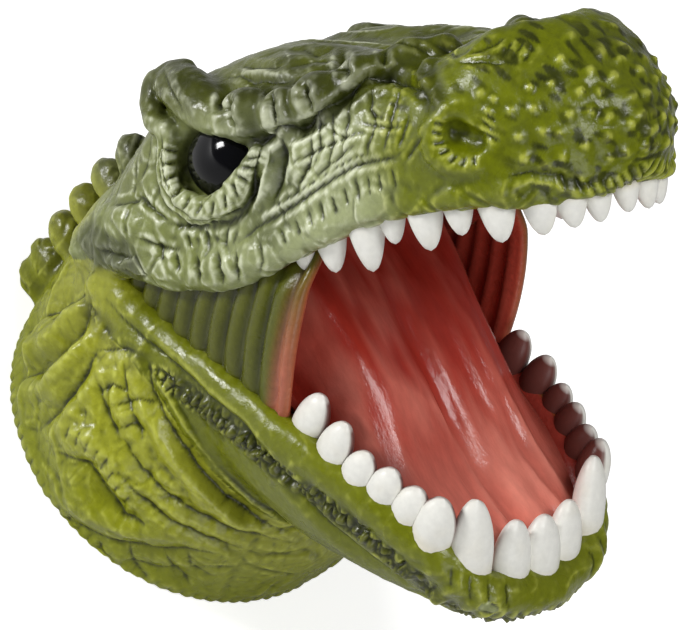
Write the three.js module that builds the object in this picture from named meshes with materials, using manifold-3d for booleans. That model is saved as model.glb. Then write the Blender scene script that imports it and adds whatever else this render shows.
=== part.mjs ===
// Dinosaur hand puppet: a hollow vinyl head that stands on the flat rim of its neck.
// Millimetres and degrees. +Z is up, +X is the way the snout points, +Y is the animal's left.
// The origin is the centre of the neck opening, where the hand goes in.
import * as THREE from 'three';
import { mergeVertices } from 'three/addons/utils/BufferGeometryUtils.js';
import Module from 'manifold-3d';

const wasm = await Module();
wasm.setup();

// Skin and clearances
const WALL = 3;
const LIP_THICKNESS = 6;
const LIP_HEIGHT = 8;
const LIP_ROUND = 1.2;
const GAP = 0.3;

// Neck
const NECK_RADIUS = 48.7;
const NECK_SWELL = 1.3;
const SLEEVE_HEIGHT = 22;
const FOLD_HEIGHT = 12;
const FOLD_RIDGE = 1.4;
const NECK_CROWN = 29;
const NECK_FLUTE_DEPTH = 1.5;
const NECK_FLUTES = 13;
const NECK_FLUTE_SLANT = 7;

// Mouth corners, where the jaw turns, and the pitch of the two jaws above the table
const HINGE_X = -27.2;
const HINGE_Z = 51;
const HINGE_CLEARANCE = 9;
const HEAD_PITCH = 58.7;
const JAW_PITCH = 15;

// Skull, measured from the mouth corner along the upper jaw, and set back from the side of the neck
const HEAD_SETBACK = 7.7;
const HEAD_LENGTH = 138;
const HEAD_HALF_WIDTH = NECK_RADIUS - HEAD_SETBACK;
const HEAD_HEIGHT = 43;
const LIP_DROOP = 9;

// Lower jaw, measured from the mouth corner along the jaw
const JAW_SETBACK = 1.5;
const JAW_LENGTH = 124;
const JAW_HALF_WIDTH = HEAD_HALF_WIDTH - JAW_SETBACK;
const JAW_DEPTH = 29;
const JAW_LIP_RISE = 10.5;
const JAW_SQUARENESS = 2.5;

// Brows, lids, nostrils and the plates on the nape
const BROW_RADIUS = 6.2;
const BROW_TAPER = 0.45;
const BROW_LOBES = 7;
const BROW_NOTCH = 0.08;
const BROW_KNOB_RADIUS = 7;
const KNOB_END = 0.15;
const EYE_RADIUS = 8.8;
const EYE_DEPTH = 5;
const LID_RADIUS = 3.2;
const LID_GAP = 1.8;
const NOSTRIL_RADIUS = 5.2;
const NOSTRIL_RIM = 2;
const NOSTRIL_TURN = 0.5;
const SCUTE_RADIUS = 5.2;
const SCUTE_HEIGHT = 7;
const SCUTE_OFFSET = 20.5;

// Mouth
const MOUTH_DEPTH = 48;
const PLATE_THICKNESS = 2.5;
const PALATE_RISE = 2.5;
const PALATE_ARCH = 5;
const PALATE_OVERLAP = 4;
const PALATE_END = 0.87 * HEAD_LENGTH;
const FLOOR_DROP = 6;
const FLOOR_END = 0.94 * JAW_LENGTH;
const TONGUE_START = 0.21 * JAW_LENGTH;
const TONGUE_SPLIT = 0.565 * JAW_LENGTH;
const TONGUE_END = 0.875 * JAW_LENGTH;
const TONGUE_CURL = 0.0055;
const WEB_THICKNESS = 2;
const WEB_PLEAT_DEPTH = 0.8;
const WEB_PLEATS = 6;
const WEB_BITE = 1.5;
const WEB_INSET = 0.45 * LIP_THICKNESS;
const WEB_INNER = HINGE_CLEARANCE + GAP;
const WEB_OUTER = 59.4;
const WEB_SAG = 8;

// Teeth of one side, from the mouth corner to the front: place as a share of the jaw's length, share of the way out
// to the lip, length and radius. The last of each row stands in the middle.
const UPPER_TEETH = [
  [0.458, 1, 5.8, 3.2],
  [0.515, 1, 8.8, 4.2],
  [0.59, 1, 12.2, 4.1],
  [0.642, 1, 7.4, 2.9],
  [0.707, 1, 9.8, 4.1],
  [0.762, 1, 6.6, 3.3],
  [0.82, 0.98, 8.5, 4],
  [0.875, 0.98, 6.8, 3.6],
  [0.911, 1, 6.3, 2.7],
  [0.925, 0.64, 6.3, 3.2],
  [0.952, 0, 5.5, 3.2],
];
const LOWER_TEETH = [
  [0.539, 0.96, 9.6, 3.9],
  [0.611, 0.98, 9.6, 3.9],
  [0.674, 1, 7.6, 3.3],
  [0.727, 1, 8, 3.2],
  [0.78, 1, 8.2, 3.3],
  [0.835, 1, 9.6, 3.7],
  [0.886, 0.87, 14.4, 4.3],
  [0.915, 0.43, 10.4, 4],
  [0.919, 0, 10.4, 4],
];
const TOOTH_ROOT = 2;
const TOOTH_SIDES = 7;

// Longer than any piece, for blocks that cut right through
const FAR = 400;
const CLEAR = 40;

// Finishes
const finish = (color, roughness) => new THREE.MeshStandardMaterial({ color, roughness, metalness: 0 });
const green = finish(0x7f8f35, 0.55);
const paleGreen = finish(0x93a04a, 0.6);
const oliveWeb = finish(0x6f6a32, 0.6);
const mouthRed = finish(0xa8402f, 0.35);
const deepRed = finish(0x5c1b14, 0.45);
const ivory = finish(0xe9e8e0, 0.4);
const eyeBlack = finish(0x0c0c12, 0.08);

const radians = THREE.MathUtils.degToRad;
const point = (x, y, z) => new THREE.Vector3(x, y, z);

// Frames of the skull and of the jaw: origin at the mouth corner line, +X along the jaw
function hingeFrame(pitch) {
  const place = new THREE.Matrix4().makeTranslation(HINGE_X, 0, HINGE_Z);
  return place.multiply(new THREE.Matrix4().makeRotationY(-radians(pitch)));
}
const headFrame = hingeFrame(HEAD_PITCH);
const jawFrame = hingeFrame(JAW_PITCH);

// A closed geometry as a solid for joining and cutting, and back again
function solidOf(geometry) {
  const bare = geometry.clone();
  bare.deleteAttribute('normal');
  bare.deleteAttribute('uv');
  const merged = mergeVertices(bare, 1e-5);
  return new wasm.Manifold(new wasm.Mesh({
    numProp: 3,
    vertProperties: new Float32Array(merged.attributes.position.array),
    triVerts: new Uint32Array(merged.index.array),
  }));
}

function geometryOf(solid) {
  const mesh = solid.getMesh();
  const geometry = new THREE.BufferGeometry();
  const places = new Float32Array(mesh.numVert * 3);
  for (let i = 0; i < mesh.numVert; i += 1) {
    for (let axis = 0; axis < 3; axis += 1) {
      places[3 * i + axis] = mesh.vertProperties[i * mesh.numProp + axis];
    }
  }
  geometry.setAttribute('position', new THREE.BufferAttribute(places, 3));
  geometry.setIndex(new THREE.BufferAttribute(new Uint32Array(mesh.triVerts), 1));
  geometry.computeVertexNormals();
  return geometry;
}

// The largest body of a cut, without the slivers that a cut may leave
function mainBody(solid) {
  const bodies = solid.decompose();
  return bodies.reduce((best, body) => (body.volume() > best.volume() ? body : best));
}

// A skin through rings of equally many points, closed by a fan at each end
function loft(rings) {
  const count = rings[0].length;
  const places = [];
  const faces = [];
  for (const ring of rings) {
    for (const p of ring) {
      places.push(p.x, p.y, p.z);
    }
  }
  for (let i = 0; i + 1 < rings.length; i += 1) {
    for (let j = 0; j < count; j += 1) {
      const next = (j + 1) % count;
      const a = i * count + j;
      const b = i * count + next;
      const c = (i + 1) * count + j;
      const d = (i + 1) * count + next;
      faces.push(a, b, d, a, d, c);
    }
  }
  for (const end of [0, rings.length - 1]) {
    const middle = rings[end].reduce((sum, p) => sum.add(p), point(0, 0, 0)).divideScalar(count);
    const centre = places.length / 3;
    places.push(middle.x, middle.y, middle.z);
    for (let j = 0; j < count; j += 1) {
      const a = end * count + j;
      const b = end * count + ((j + 1) % count);
      faces.push(...(end === 0 ? [centre, b, a] : [centre, a, b]));
    }
  }
  const geometry = new THREE.BufferGeometry();
  geometry.setAttribute('position', new THREE.Float32BufferAttribute(places, 3));
  geometry.setIndex(facingOut(places, faces));
  return geometry;
}

function facingOut(places, faces) {
  let volume = 0;
  const corner = (i) => point(places[3 * i], places[3 * i + 1], places[3 * i + 2]);
  for (let f = 0; f < faces.length; f += 3) {
    volume += corner(faces[f]).dot(corner(faces[f + 1]).cross(corner(faces[f + 2])));
  }
  if (volume > 0) {
    return faces;
  }
  const turned = [];
  for (let f = 0; f < faces.length; f += 3) {
    turned.push(faces[f], faces[f + 2], faces[f + 1]);
  }
  return turned;
}

// Smooth values between stations: each station is [place, value, value, ...]
function smooth(stations) {
  return (place) => {
    const last = stations.length - 1;
    let i = 0;
    while (i < last - 1 && place > stations[i + 1][0]) {
      i += 1;
    }
    const at = (k) => stations[THREE.MathUtils.clamp(k, 0, last)];
    const span = at(i + 1)[0] - at(i)[0];
    const t = THREE.MathUtils.clamp((place - at(i)[0]) / span, 0, 1);
    return at(i).slice(1).map((value, k) => {
      const slope = (low, high) => (at(high)[k + 1] - at(low)[k + 1]) / (at(high)[0] - at(low)[0]);
      const m0 = slope(Math.max(i - 1, 0), i + 1) * span;
      const m1 = slope(i, Math.min(i + 2, last)) * span;
      const v1 = at(i + 1)[k + 1];
      const t2 = t * t;
      const t3 = t2 * t;
      return (2 * t3 - 3 * t2 + 1) * value + (t3 - 2 * t2 + t) * m0 + (3 * t2 - 2 * t3) * v1 + (t3 - t2) * m1;
    });
  };
}

// A tube with round ends that thickens and thins along a curve
function taperedTube(curve, radiusAt, steps, sides) {
  const rings = [];
  for (let i = 0; i <= steps; i += 1) {
    const u = i / steps;
    const along = curve.getTangentAt(u);
    const side = point(0, 0, 1).cross(along).normalize();
    const up = along.clone().cross(side);
    const middle = curve.getPointAt(u);
    const ring = [];
    for (let j = 0; j < sides; j += 1) {
      const angle = (2 * Math.PI * j) / sides;
      const reach = side.clone().multiplyScalar(Math.cos(angle)).addScaledVector(up, Math.sin(angle));
      ring.push(middle.clone().addScaledVector(reach, radiusAt(u)));
    }
    rings.push(ring);
  }
  return loft(rings);
}

function ellipsoid(centre, radii, widthSegments, heightSegments) {
  const geometry = new THREE.SphereGeometry(1, widthSegments, heightSegments);
  geometry.scale(radii.x, radii.y, radii.z);
  geometry.translate(centre.x, centre.y, centre.z);
  return geometry;
}

// A block that spans the whole width, from an outline of [x, z] corners
function wideBlock(corners) {
  const outline = new THREE.Shape(corners.map(([x, z]) => new THREE.Vector2(x, z)));
  const block = new THREE.ExtrudeGeometry(outline, { depth: 2 * FAR, bevelEnabled: false });
  block.rotateX(Math.PI / 2);
  block.translate(0, FAR, 0);
  return solidOf(block);
}

// Neck, from the rim to the crown: height, shift of the centre, half length and half width
const SLEEVE_TOP = SLEEVE_HEIGHT;
const FOLD_TOP = SLEEVE_HEIGHT + FOLD_HEIGHT;
const CROWN_TOP = HINGE_Z + NECK_CROWN;
const neckAt = smooth([
  [0, 0, NECK_RADIUS, NECK_RADIUS],
  [SLEEVE_TOP, 0, NECK_RADIUS + NECK_SWELL, NECK_RADIUS + NECK_SWELL],
  [FOLD_TOP, -1, NECK_RADIUS - 0.5, NECK_RADIUS - 1.5],
  [HINGE_Z, -4, NECK_RADIUS - 3.5, NECK_RADIUS - 7],
  [HINGE_Z + 0.5 * NECK_CROWN, -8, NECK_RADIUS - 7, NECK_RADIUS - 7.5],
  [CROWN_TOP, -12, NECK_RADIUS - 12, NECK_RADIUS - 9],
]);

// Folds slant round the outside of the neck, and the soft band stands out in a ridge
function neckRelief(angle, z) {
  if (z <= 0 || z >= CROWN_TOP) {
    return 0;
  }
  const fold = NECK_FLUTE_DEPTH * Math.sin(NECK_FLUTES * angle + z / NECK_FLUTE_SLANT);
  const ridge = FOLD_RIDGE * Math.sin((Math.PI * (z - SLEEVE_TOP)) / FOLD_HEIGHT);
  return z > SLEEVE_TOP && z < FOLD_TOP ? fold + ridge : fold;
}

function neckRing(z, inset) {
  const sides = inset > 0 ? 20 : 3 * NECK_FLUTES;
  const [shift, length, width] = neckAt(z);
  const ring = [];
  for (let j = 0; j < sides; j += 1) {
    const angle = (2 * Math.PI * j) / sides;
    const swell = inset > 0 ? -inset : neckRelief(angle, z);
    ring.push(point(shift + (length + swell) * Math.cos(angle), (width + swell) * Math.sin(angle), z));
  }
  return ring;
}

function neckTube(bottom, top, inset) {
  const steps = inset > 0 ? 5 : 9;
  const rings = [];
  for (let i = 0; i <= steps; i += 1) {
    rings.push(neckRing(bottom + ((top - bottom) * i) / steps, inset));
  }
  return solidOf(loft(rings));
}

// Skull sections, as shares of the head's length, half width and height:
// place, half width, height of the widest line, top, lip half width, lip edge, squareness
const skullAt = smooth([
  [-0.1, 0.95, 0.05, 0.38, 0.92, 0.02, 2],
  [0, 0.97, 0.08, 0.62, 0.95, 0, 2],
  [0.15, 1, 0.08, 0.92, 0.975, -0.14, 2.8],
  [0.3, 0.97, 0.05, 1, 0.955, -LIP_DROOP / HEAD_HEIGHT, 3.4],
  [0.44, 0.925, 0.12, 0.99, 0.905, -0.05, 3.5],
  [0.6, 0.85, 0.23, 0.91, 0.825, 0.08, 3.3],
  [0.7, 0.8, 0.29, 0.88, 0.775, 0.125, 3],
  [0.76, 0.76, 0.32, 0.94, 0.735, 0.125, 2.7],
  [0.81, 0.72, 0.345, 1, 0.68, 0.115, 2.5],
  [0.87, 0.62, 0.37, 0.97, 0.56, 0.085, 2.3],
  [0.94, 0.42, 0.37, 0.79, 0.33, 0.1, 2.1],
  [0.98, 0.22, 0.37, 0.58, 0.15, 0.2, 2],
  [1, 0.08, 0.37, 0.45, 0.05, 0.29, 2],
]);

function skullSection(x) {
  const [half, widest, top, lipHalf, lip, squareness] = skullAt(x / HEAD_LENGTH);
  return {
    half: half * HEAD_HALF_WIDTH,
    widest: widest * HEAD_HEIGHT,
    top: top * HEAD_HEIGHT,
    lipHalf: lipHalf * HEAD_HALF_WIDTH,
    lip: lip * HEAD_HEIGHT,
    squareness,
  };
}

// Half of a section, from the lip over the widest line to the top, then its mirror image
function mirrored(half, x) {
  const right = half.map(([y, z]) => point(x, -y, z));
  const left = half.slice(0, -1).reverse().map(([y, z]) => point(x, y, z));
  return [...right, ...left];
}

function dome(half, widest, top, squareness) {
  const steps = 7;
  const arc = [];
  for (let i = 0; i <= steps; i += 1) {
    const angle = (Math.PI / 2) * (i / steps);
    const power = 2 / squareness;
    const y = i === steps ? 0 : half * Math.cos(angle) ** power;
    arc.push([y, widest + (top - widest) * Math.sin(angle) ** power]);
  }
  return arc;
}

// The side bulges a little between the lip and the widest line
const BULGE_OUT = 0.7;
const BULGE_UP = 0.45;
const between = THREE.MathUtils.lerp;

function skullRing(x) {
  const s = skullSection(x);
  const bulge = [between(s.lipHalf, s.half, BULGE_OUT), between(s.lip, s.widest, BULGE_UP)];
  return mirrored([[s.lipHalf, s.lip], bulge, ...dome(s.half, s.widest, s.top, s.squareness)], x);
}

function skullHollowRing(x) {
  const s = skullSection(x);
  const inner = Math.max(s.lipHalf - LIP_THICKNESS, 1);
  const widest = Math.max(s.widest, s.lip + LIP_HEIGHT + 1);
  const side = [[inner, s.lip - CLEAR], [inner, s.lip + LIP_HEIGHT]];
  const arc = dome(Math.max(s.half - WALL, 1.5), widest, Math.max(s.top - WALL, widest + 1), s.squareness);
  return mirrored([...side, ...arc], x);
}

function along(start, end, steps, ringAt) {
  const rings = [];
  for (let i = 0; i <= steps; i += 1) {
    rings.push(ringAt(start + ((end - start) * i) / steps));
  }
  return loft(rings);
}

const placed = (geometry, frame) => solidOf(geometry.applyMatrix4(frame));

// Jaw sections, as shares of the jaw's length, half width and depth:
// place, half width, lip edge as a share of its rise, bottom
const jawAt = smooth([
  [0, 1.01, -0.15, -0.55],
  [0.16, 1, 0, -0.86],
  [0.36, 0.98, 0.45, -1],
  [0.56, 0.96, 0.85, -0.97],
  [0.73, 0.84, 1, -0.76],
  [0.87, 0.68, 0.93, -0.5],
  [0.95, 0.48, 0.6, -0.34],
  [0.985, 0.28, 0.35, -0.22],
  [1, 0.1, 0.1, -0.12],
]);

function jawSection(x) {
  const [half, rise, bottom] = jawAt(x / JAW_LENGTH);
  return { half: half * JAW_HALF_WIDTH, lip: rise * JAW_LIP_RISE, bottom: bottom * JAW_DEPTH };
}

function jawRing(x) {
  const s = jawSection(x);
  const widest = s.lip - LIP_HEIGHT / 2;
  const keel = dome(s.half, 0, 1, JAW_SQUARENESS).map(([y, u]) => [y, widest + (s.bottom - widest) * u]);
  return mirrored([[s.half - LIP_ROUND, s.lip], ...keel], x);
}

function jawHollowRing(x) {
  const s = jawSection(x);
  const inner = Math.max(s.half - LIP_THICKNESS, 1);
  const shelf = s.lip - LIP_HEIGHT;
  const bottom = Math.min(s.bottom + WALL, shelf - 0.5);
  const keel = dome(Math.max(s.half - WALL, 1.5), 0, 1, JAW_SQUARENESS)
    .map(([y, u]) => [y, shelf - 0.2 + (bottom - shelf + 0.2) * u]);
  return mirrored([[inner, s.lip + CLEAR], [inner, shelf], ...keel], x);
}

const SNOUT_END = HEAD_LENGTH - 2 * WALL;
const CHIN_END = JAW_LENGTH - 2 * WALL;
const skullForm = placed(along(-0.1 * HEAD_LENGTH, HEAD_LENGTH, 22, skullRing), headFrame);
const skullHollow = placed(along(-WALL, SNOUT_END, 14, skullHollowRing), headFrame);
const jawForm = placed(along(0, JAW_LENGTH, 20, jawRing), jawFrame);
const jawHollow = placed(along(-GAP, CHIN_END, 14, jawHollowRing), jawFrame);

// The open mouth and the jaw, seen from the side, have no neck wall in front of the hinge
function frontWedge(pitch) {
  const slope = radians(pitch);
  return wideBlock([
    [HINGE_X, HINGE_Z],
    [HINGE_X + FAR, HINGE_Z],
    [HINGE_X + FAR, HINGE_Z + FAR * Math.tan(slope)],
  ]);
}
const mouthWedge = frontWedge(HEAD_PITCH);
const neckForm = neckTube(0, CROWN_TOP, 0).subtract(mouthWedge);
const neckHollow = neckTube(-1, CROWN_TOP - WALL, WALL).subtract(mouthWedge);

// Details of the skull, on both sides
function bothSides(make) {
  return make(-1).add(make(1));
}

// Places on the skull, as shares of its length, half width and height
function onSkull([x, y, z], side) {
  return point(x * HEAD_LENGTH, side * y * HEAD_HALF_WIDTH, z * HEAD_HEIGHT);
}
const BROW_PLACES = [
  [0.28, 0.88, 0.7], [0.4, 0.9, 0.7], [0.48, 0.88, 0.695], [0.545, 0.83, 0.745], [0.61, 0.76, 0.815],
  [0.68, 0.64, 0.87], [0.75, 0.56, 0.78],
];
const KNOB_PLACES = [[0.175, 0.765, 0.91], [0.225, 0.83, 0.81], [0.285, 0.885, 0.69], [0.325, 0.91, 0.6]];
const EYE_PLACE = [0.31, 0.885, 0.49];
const NOSTRIL_PLACE = [0.79, 0.68, 0.475];

function browRidge(side) {
  const curve = new THREE.CatmullRomCurve3(BROW_PLACES.map((place) => onSkull(place, side)));
  const lobe = (u) => 1 - BROW_NOTCH + BROW_NOTCH * Math.cos(2 * Math.PI * BROW_LOBES * u);
  const swell = (u) => BROW_RADIUS * (1 - BROW_TAPER * u) * lobe(u);
  return placed(taperedTube(curve, swell, 12, 6), headFrame);
}

function browKnob(side) {
  const curve = new THREE.CatmullRomCurve3(KNOB_PLACES.map((place) => onSkull(place, side)));
  const swell = (u) => BROW_KNOB_RADIUS * Math.sqrt(Math.max(1 - (2 * u - 0.9) ** 4, KNOB_END));
  return placed(taperedTube(curve, swell, 7, 8), headFrame);
}

function eyeLid(side) {
  const ring = new THREE.TorusGeometry(EYE_RADIUS + LID_GAP, LID_RADIUS, 5, 11);
  ring.rotateX(Math.PI / 2);
  const middle = onSkull(EYE_PLACE, side);
  ring.translate(middle.x, middle.y + side * 0.5 * LID_RADIUS, middle.z);
  return placed(ring, headFrame);
}

function eyeBall(side, clearance) {
  const radii = point(EYE_RADIUS + clearance, EYE_DEPTH + clearance, EYE_RADIUS + clearance);
  return placed(ellipsoid(onSkull(EYE_PLACE, side), radii, 14, 8), headFrame);
}

function nostrilRim(side) {
  const ring = new THREE.TorusGeometry(NOSTRIL_RADIUS, NOSTRIL_RIM, 5, 10);
  ring.rotateX(Math.PI / 2 - side * NOSTRIL_TURN);
  const middle = onSkull(NOSTRIL_PLACE, side);
  ring.translate(middle.x, middle.y, middle.z);
  return placed(ring, headFrame);
}

function nostrilPit(side) {
  const reach = NOSTRIL_RADIUS - NOSTRIL_RIM;
  const middle = onSkull(NOSTRIL_PLACE, side);
  middle.y += side * 0.5 * NOSTRIL_RADIUS;
  return placed(ellipsoid(middle, point(reach, WALL, reach), 8, 6), headFrame);
}

// The lips meet at the mouth corner in a round fold about the hinge
function mouthCorner(side) {
  const reach = HINGE_CLEARANCE - GAP;
  const barrel = new THREE.CylinderGeometry(reach, reach, LIP_THICKNESS, 20);
  barrel.translate(HINGE_X, side * (skullSection(0).lipHalf - LIP_THICKNESS / 2), HINGE_Z);
  return solidOf(barrel);
}

// Plates on the nape, in two rows, none of them across a cut
function scutes() {
  const heights = [
    0.25 * SLEEVE_TOP, 0.7 * SLEEVE_TOP, 0.5 * (SLEEVE_TOP + FOLD_TOP),
    ...[0.13, 0.36, 0.59].map((share) => between(FOLD_TOP, CROWN_TOP, share)),
  ];
  const plates = heights.map((z) => bothSides((side) => {
    const [shift, length] = neckAt(z);
    const x = shift - Math.sqrt(length ** 2 - SCUTE_OFFSET ** 2);
    const radii = point(SCUTE_HEIGHT, 0.85 * SCUTE_RADIUS, SCUTE_RADIUS);
    return solidOf(ellipsoid(point(x, side * SCUTE_OFFSET, z), radii, 7, 5));
  }));
  return plates.reduce((sum, plate) => sum.add(plate));
}

// Cutting the skin into its stiff and soft regions
const slab = (low, high) => wideBlock([[-FAR, low], [FAR, low], [FAR, high], [-FAR, high]]);
const behindHinge = wideBlock([
  [-FAR, FOLD_TOP + GAP], [HINGE_X - GAP, FOLD_TOP + GAP], [HINGE_X - GAP, HINGE_Z], [HINGE_X + FAR, HINGE_Z],
  [HINGE_X + FAR, FAR], [-FAR, FAR],
]);
const underJaw = wideBlock([
  [HINGE_X, FOLD_TOP + GAP], [FAR, FOLD_TOP + GAP], [FAR, HINGE_Z - GAP], [HINGE_X, HINGE_Z - GAP],
]);
const aboveHinge = slab(HINGE_Z, FAR);

function hingeClearance() {
  const barrel = new THREE.CylinderGeometry(HINGE_CLEARANCE, HINGE_CLEARANCE, 2 * FAR, 24);
  barrel.translate(HINGE_X, 0, HINGE_Z);
  return solidOf(barrel);
}

const plates = scutes();
const neckSkin = neckForm.add(plates);
const neckSleeve = neckSkin.subtract(neckHollow).intersect(slab(0, SLEEVE_TOP));
const neckFold = neckSkin.subtract(neckHollow).intersect(slab(SLEEVE_TOP + GAP, FOLD_TOP));

const skullDetails = [browRidge, browKnob, eyeLid, nostrilRim]
  .map(bothSides)
  .reduce((sum, detail) => sum.add(detail));
const skullSkin = mainBody(
  skullForm.add(neckSkin.intersect(behindHinge)).add(skullDetails)
    .subtract(neckHollow)
    .subtract(skullHollow)
    .subtract(bothSides((side) => eyeBall(side, GAP)))
    .subtract(bothSides(nostrilPit))
    .intersect(behindHinge)
    .add(bothSides(mouthCorner)),
);
const jawSkin = mainBody(jawForm.subtract(jawHollow).intersect(aboveHinge).subtract(hingeClearance()));
const throatFold = mainBody(
  jawForm.add(neckForm).subtract(neckHollow).subtract(jawHollow).intersect(underJaw).subtract(hingeClearance()),
);

// Copies shifted by the clearance, so that what is cut by a lip keeps off it
const shifted = (solid, x, z) => solid.translate([x, 0, z]);
function keptOff(solid, pitch, way) {
  const slope = radians(pitch);
  return solid.add(shifted(solid, -way * GAP * Math.sin(slope), way * GAP * Math.cos(slope)));
}
const upperLip = keptOff(skullSkin, HEAD_PITCH, -1);
const lowerLip = keptOff(jawSkin, JAW_PITCH, 1);

// Tongue, from the roof of the mouth to its tip: place as a share of the jaw's length, height,
// half width as a share of the jaw's, and drop of its edges
const tongueAt = smooth([
  [0.1, 31, 0.81, 2],
  [0.18, 33.5, 0.81, 3],
  [0.24, 32.5, 0.81, 4],
  [0.31, 29.4, 0.785, 7],
  [0.4, 26, 0.72, 10],
  [0.48, 22.5, 0.66, 11],
  [0.565, 18.4, 0.61, 10.5],
  [0.65, 13, 0.57, 9.5],
  [0.73, 9, 0.52, 7],
  [0.81, 7.2, 0.44, 4],
  [0.87, 6, 0.33, 2.5],
  [0.935, 3.4, 0.13, 0.5],
]);

// Half of the tongue's top, from the edge to the middle
function tongueTop(x) {
  const [height, half, drop] = tongueAt(x / JAW_LENGTH);
  return [-1, -0.97, -0.85, -0.6, -0.3, 0].map((share) => {
    const y = half * JAW_HALF_WIDTH * share;
    return point(x, y, height + TONGUE_CURL * y ** 2 - drop * Math.abs(share) ** 7);
  });
}
const acrossMiddle = (half) => [...half, ...half.slice(0, -1).reverse().map((p) => point(p.x, -p.y, p.z))];

function tongue() {
  const ringAt = (x) => {
    const base = floorTop(x) + GAP;
    const top = tongueTop(x).map((p) => point(x, p.y, Math.max(p.z, base + 0.5)));
    const low = top.map((p) => point(x, 0.96 * p.y, base));
    return [...acrossMiddle(top), ...acrossMiddle(low).reverse()];
  };
  return placed(along(TONGUE_SPLIT + GAP, TONGUE_END, 8, ringAt), jawFrame);
}

// The back of the tongue is a skin that runs up to the roof of the mouth
function mouthLining() {
  const ringAt = (x) => {
    const top = acrossMiddle(tongueTop(x));
    const under = top.map((p) => point(p.x - 0.5 * PLATE_THICKNESS, 0.97 * p.y, p.z - PLATE_THICKNESS)).reverse();
    return [...top, ...under];
  };
  return placed(along(TONGUE_START, TONGUE_SPLIT, 8, ringAt), jawFrame);
}
const lining = mouthLining();

// Red plates of the mouth, between the lips
function palate() {
  const ringAt = (x) => {
    const s = skullSection(x);
    const edge = s.lipHalf - LIP_THICKNESS - 2 * GAP;
    const low = s.lip + PALATE_RISE;
    const arch = [-1, -0.65, -0.3, 0].map((u) => point(x, edge * u, low + PALATE_ARCH * (1 - u ** 2)));
    const under = acrossMiddle(arch);
    const over = under.map((p) => point(x, p.y, p.z + PLATE_THICKNESS)).reverse();
    return [...under, ...over];
  };
  const plate = placed(along(MOUTH_DEPTH - PALATE_OVERLAP, PALATE_END, 11, ringAt), headFrame);
  const kept = [lining, lining.scale([1, 1.2, 1])]
    .flatMap((solid) => [solid, shifted(solid, GAP, 0), shifted(solid, 0, GAP)]);
  return mainBody(kept.reduce((rest, solid) => rest.subtract(solid), plate));
}

const floorTop = (x) => jawSection(x).lip - FLOOR_DROP + PLATE_THICKNESS;

function mouthFloor() {
  const ringAt = (x) => {
    const edge = jawSection(x).half - LIP_THICKNESS - 2 * GAP;
    const high = floorTop(x);
    const low = high - PLATE_THICKNESS;
    return [point(x, -edge, low), point(x, edge, low), point(x, edge, high), point(x, -edge, high)];
  };
  return placed(along(MOUTH_DEPTH, FLOOR_END, 12, ringAt), jawFrame);
}

// Pleated skin between the lips: a fan about the hinge, wavy along its radius
function cheekWeb(side) {
  const span = WEB_OUTER - WEB_INNER;
  const radialSteps = 2 * WEB_PLEATS;
  const rings = [];
  const turns = 6;
  for (let i = 0; i <= turns; i += 1) {
    const u = i / turns;
    const outer = [];
    const inner = [];
    for (let k = 0; k <= radialSteps; k += 1) {
      const r = WEB_INNER + (span - WEB_SAG * Math.sin(Math.PI * u)) * (k / radialSteps);
      const upper = skullSection(r);
      const lower = jawSection(r);
      const low = radians(JAW_PITCH) + Math.asin(Math.min(1, (lower.lip - WEB_BITE) / r));
      const high = radians(HEAD_PITCH) + Math.asin(Math.max(-1, (upper.lip + WEB_BITE) / r));
      const angle = between(low, high, u);
      const middle = Math.min(upper.lipHalf, lower.half - LIP_ROUND) - WEB_INSET;
      const y = middle + WEB_PLEAT_DEPTH * (k % 2 === 0 ? 1 : -1);
      const x = HINGE_X + r * Math.cos(angle);
      const z = HINGE_Z + r * Math.sin(angle);
      outer.push(point(x, side * (y + WEB_THICKNESS / 2), z));
      inner.unshift(point(x, side * (y - WEB_THICKNESS / 2), z));
    }
    rings.push([...outer, ...inner]);
  }
  return mainBody(solidOf(loft(rings)).subtract(upperLip).subtract(lowerLip));
}

// Teeth: turned pegs, rounded at the tip, cut by the lip that they stand in
function toothGeometry(radius, length) {
  const profile = [
    [0, -TOOTH_ROOT], [0.95 * radius, -TOOTH_ROOT], [radius, 0.2 * length],
    [0.78 * radius, 0.6 * length], [0.4 * radius, 0.9 * length], [0, length],
  ];
  const tooth = new THREE.LatheGeometry(profile.map(([r, h]) => new THREE.Vector2(r, h)), TOOTH_SIDES);
  tooth.rotateX(Math.PI / 2);
  return tooth;
}

// A tooth stands in the middle of its lip, or nearer to the middle of the mouth
function upperTooth([share, out, length, radius], side) {
  const x = share * HEAD_LENGTH;
  const s = skullSection(x);
  const geometry = toothGeometry(radius, length).rotateX(Math.PI);
  geometry.translate(x, side * out * (s.lipHalf - 0.5 * LIP_THICKNESS), s.lip);
  return mainBody(placed(geometry, headFrame).subtract(upperLip));
}

function lowerTooth([share, out, length, radius], side) {
  const x = share * JAW_LENGTH;
  const s = jawSection(x);
  const geometry = toothGeometry(radius, length);
  geometry.translate(x, side * out * (s.half - 0.5 * LIP_THICKNESS), s.lip);
  return mainBody(placed(geometry, jawFrame).subtract(lowerLip));
}

// The scene
const puppet = new THREE.Group();
puppet.name = 'dinosaur_hand_puppet';

function addPiece(group, name, solid, material) {
  const mesh = new THREE.Mesh(geometryOf(solid), material);
  mesh.name = name;
  group.add(mesh);
}

const neckGroup = new THREE.Group();
const headGroup = new THREE.Group();
const jawGroup = new THREE.Group();
puppet.add(neckGroup, headGroup, jawGroup);

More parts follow.
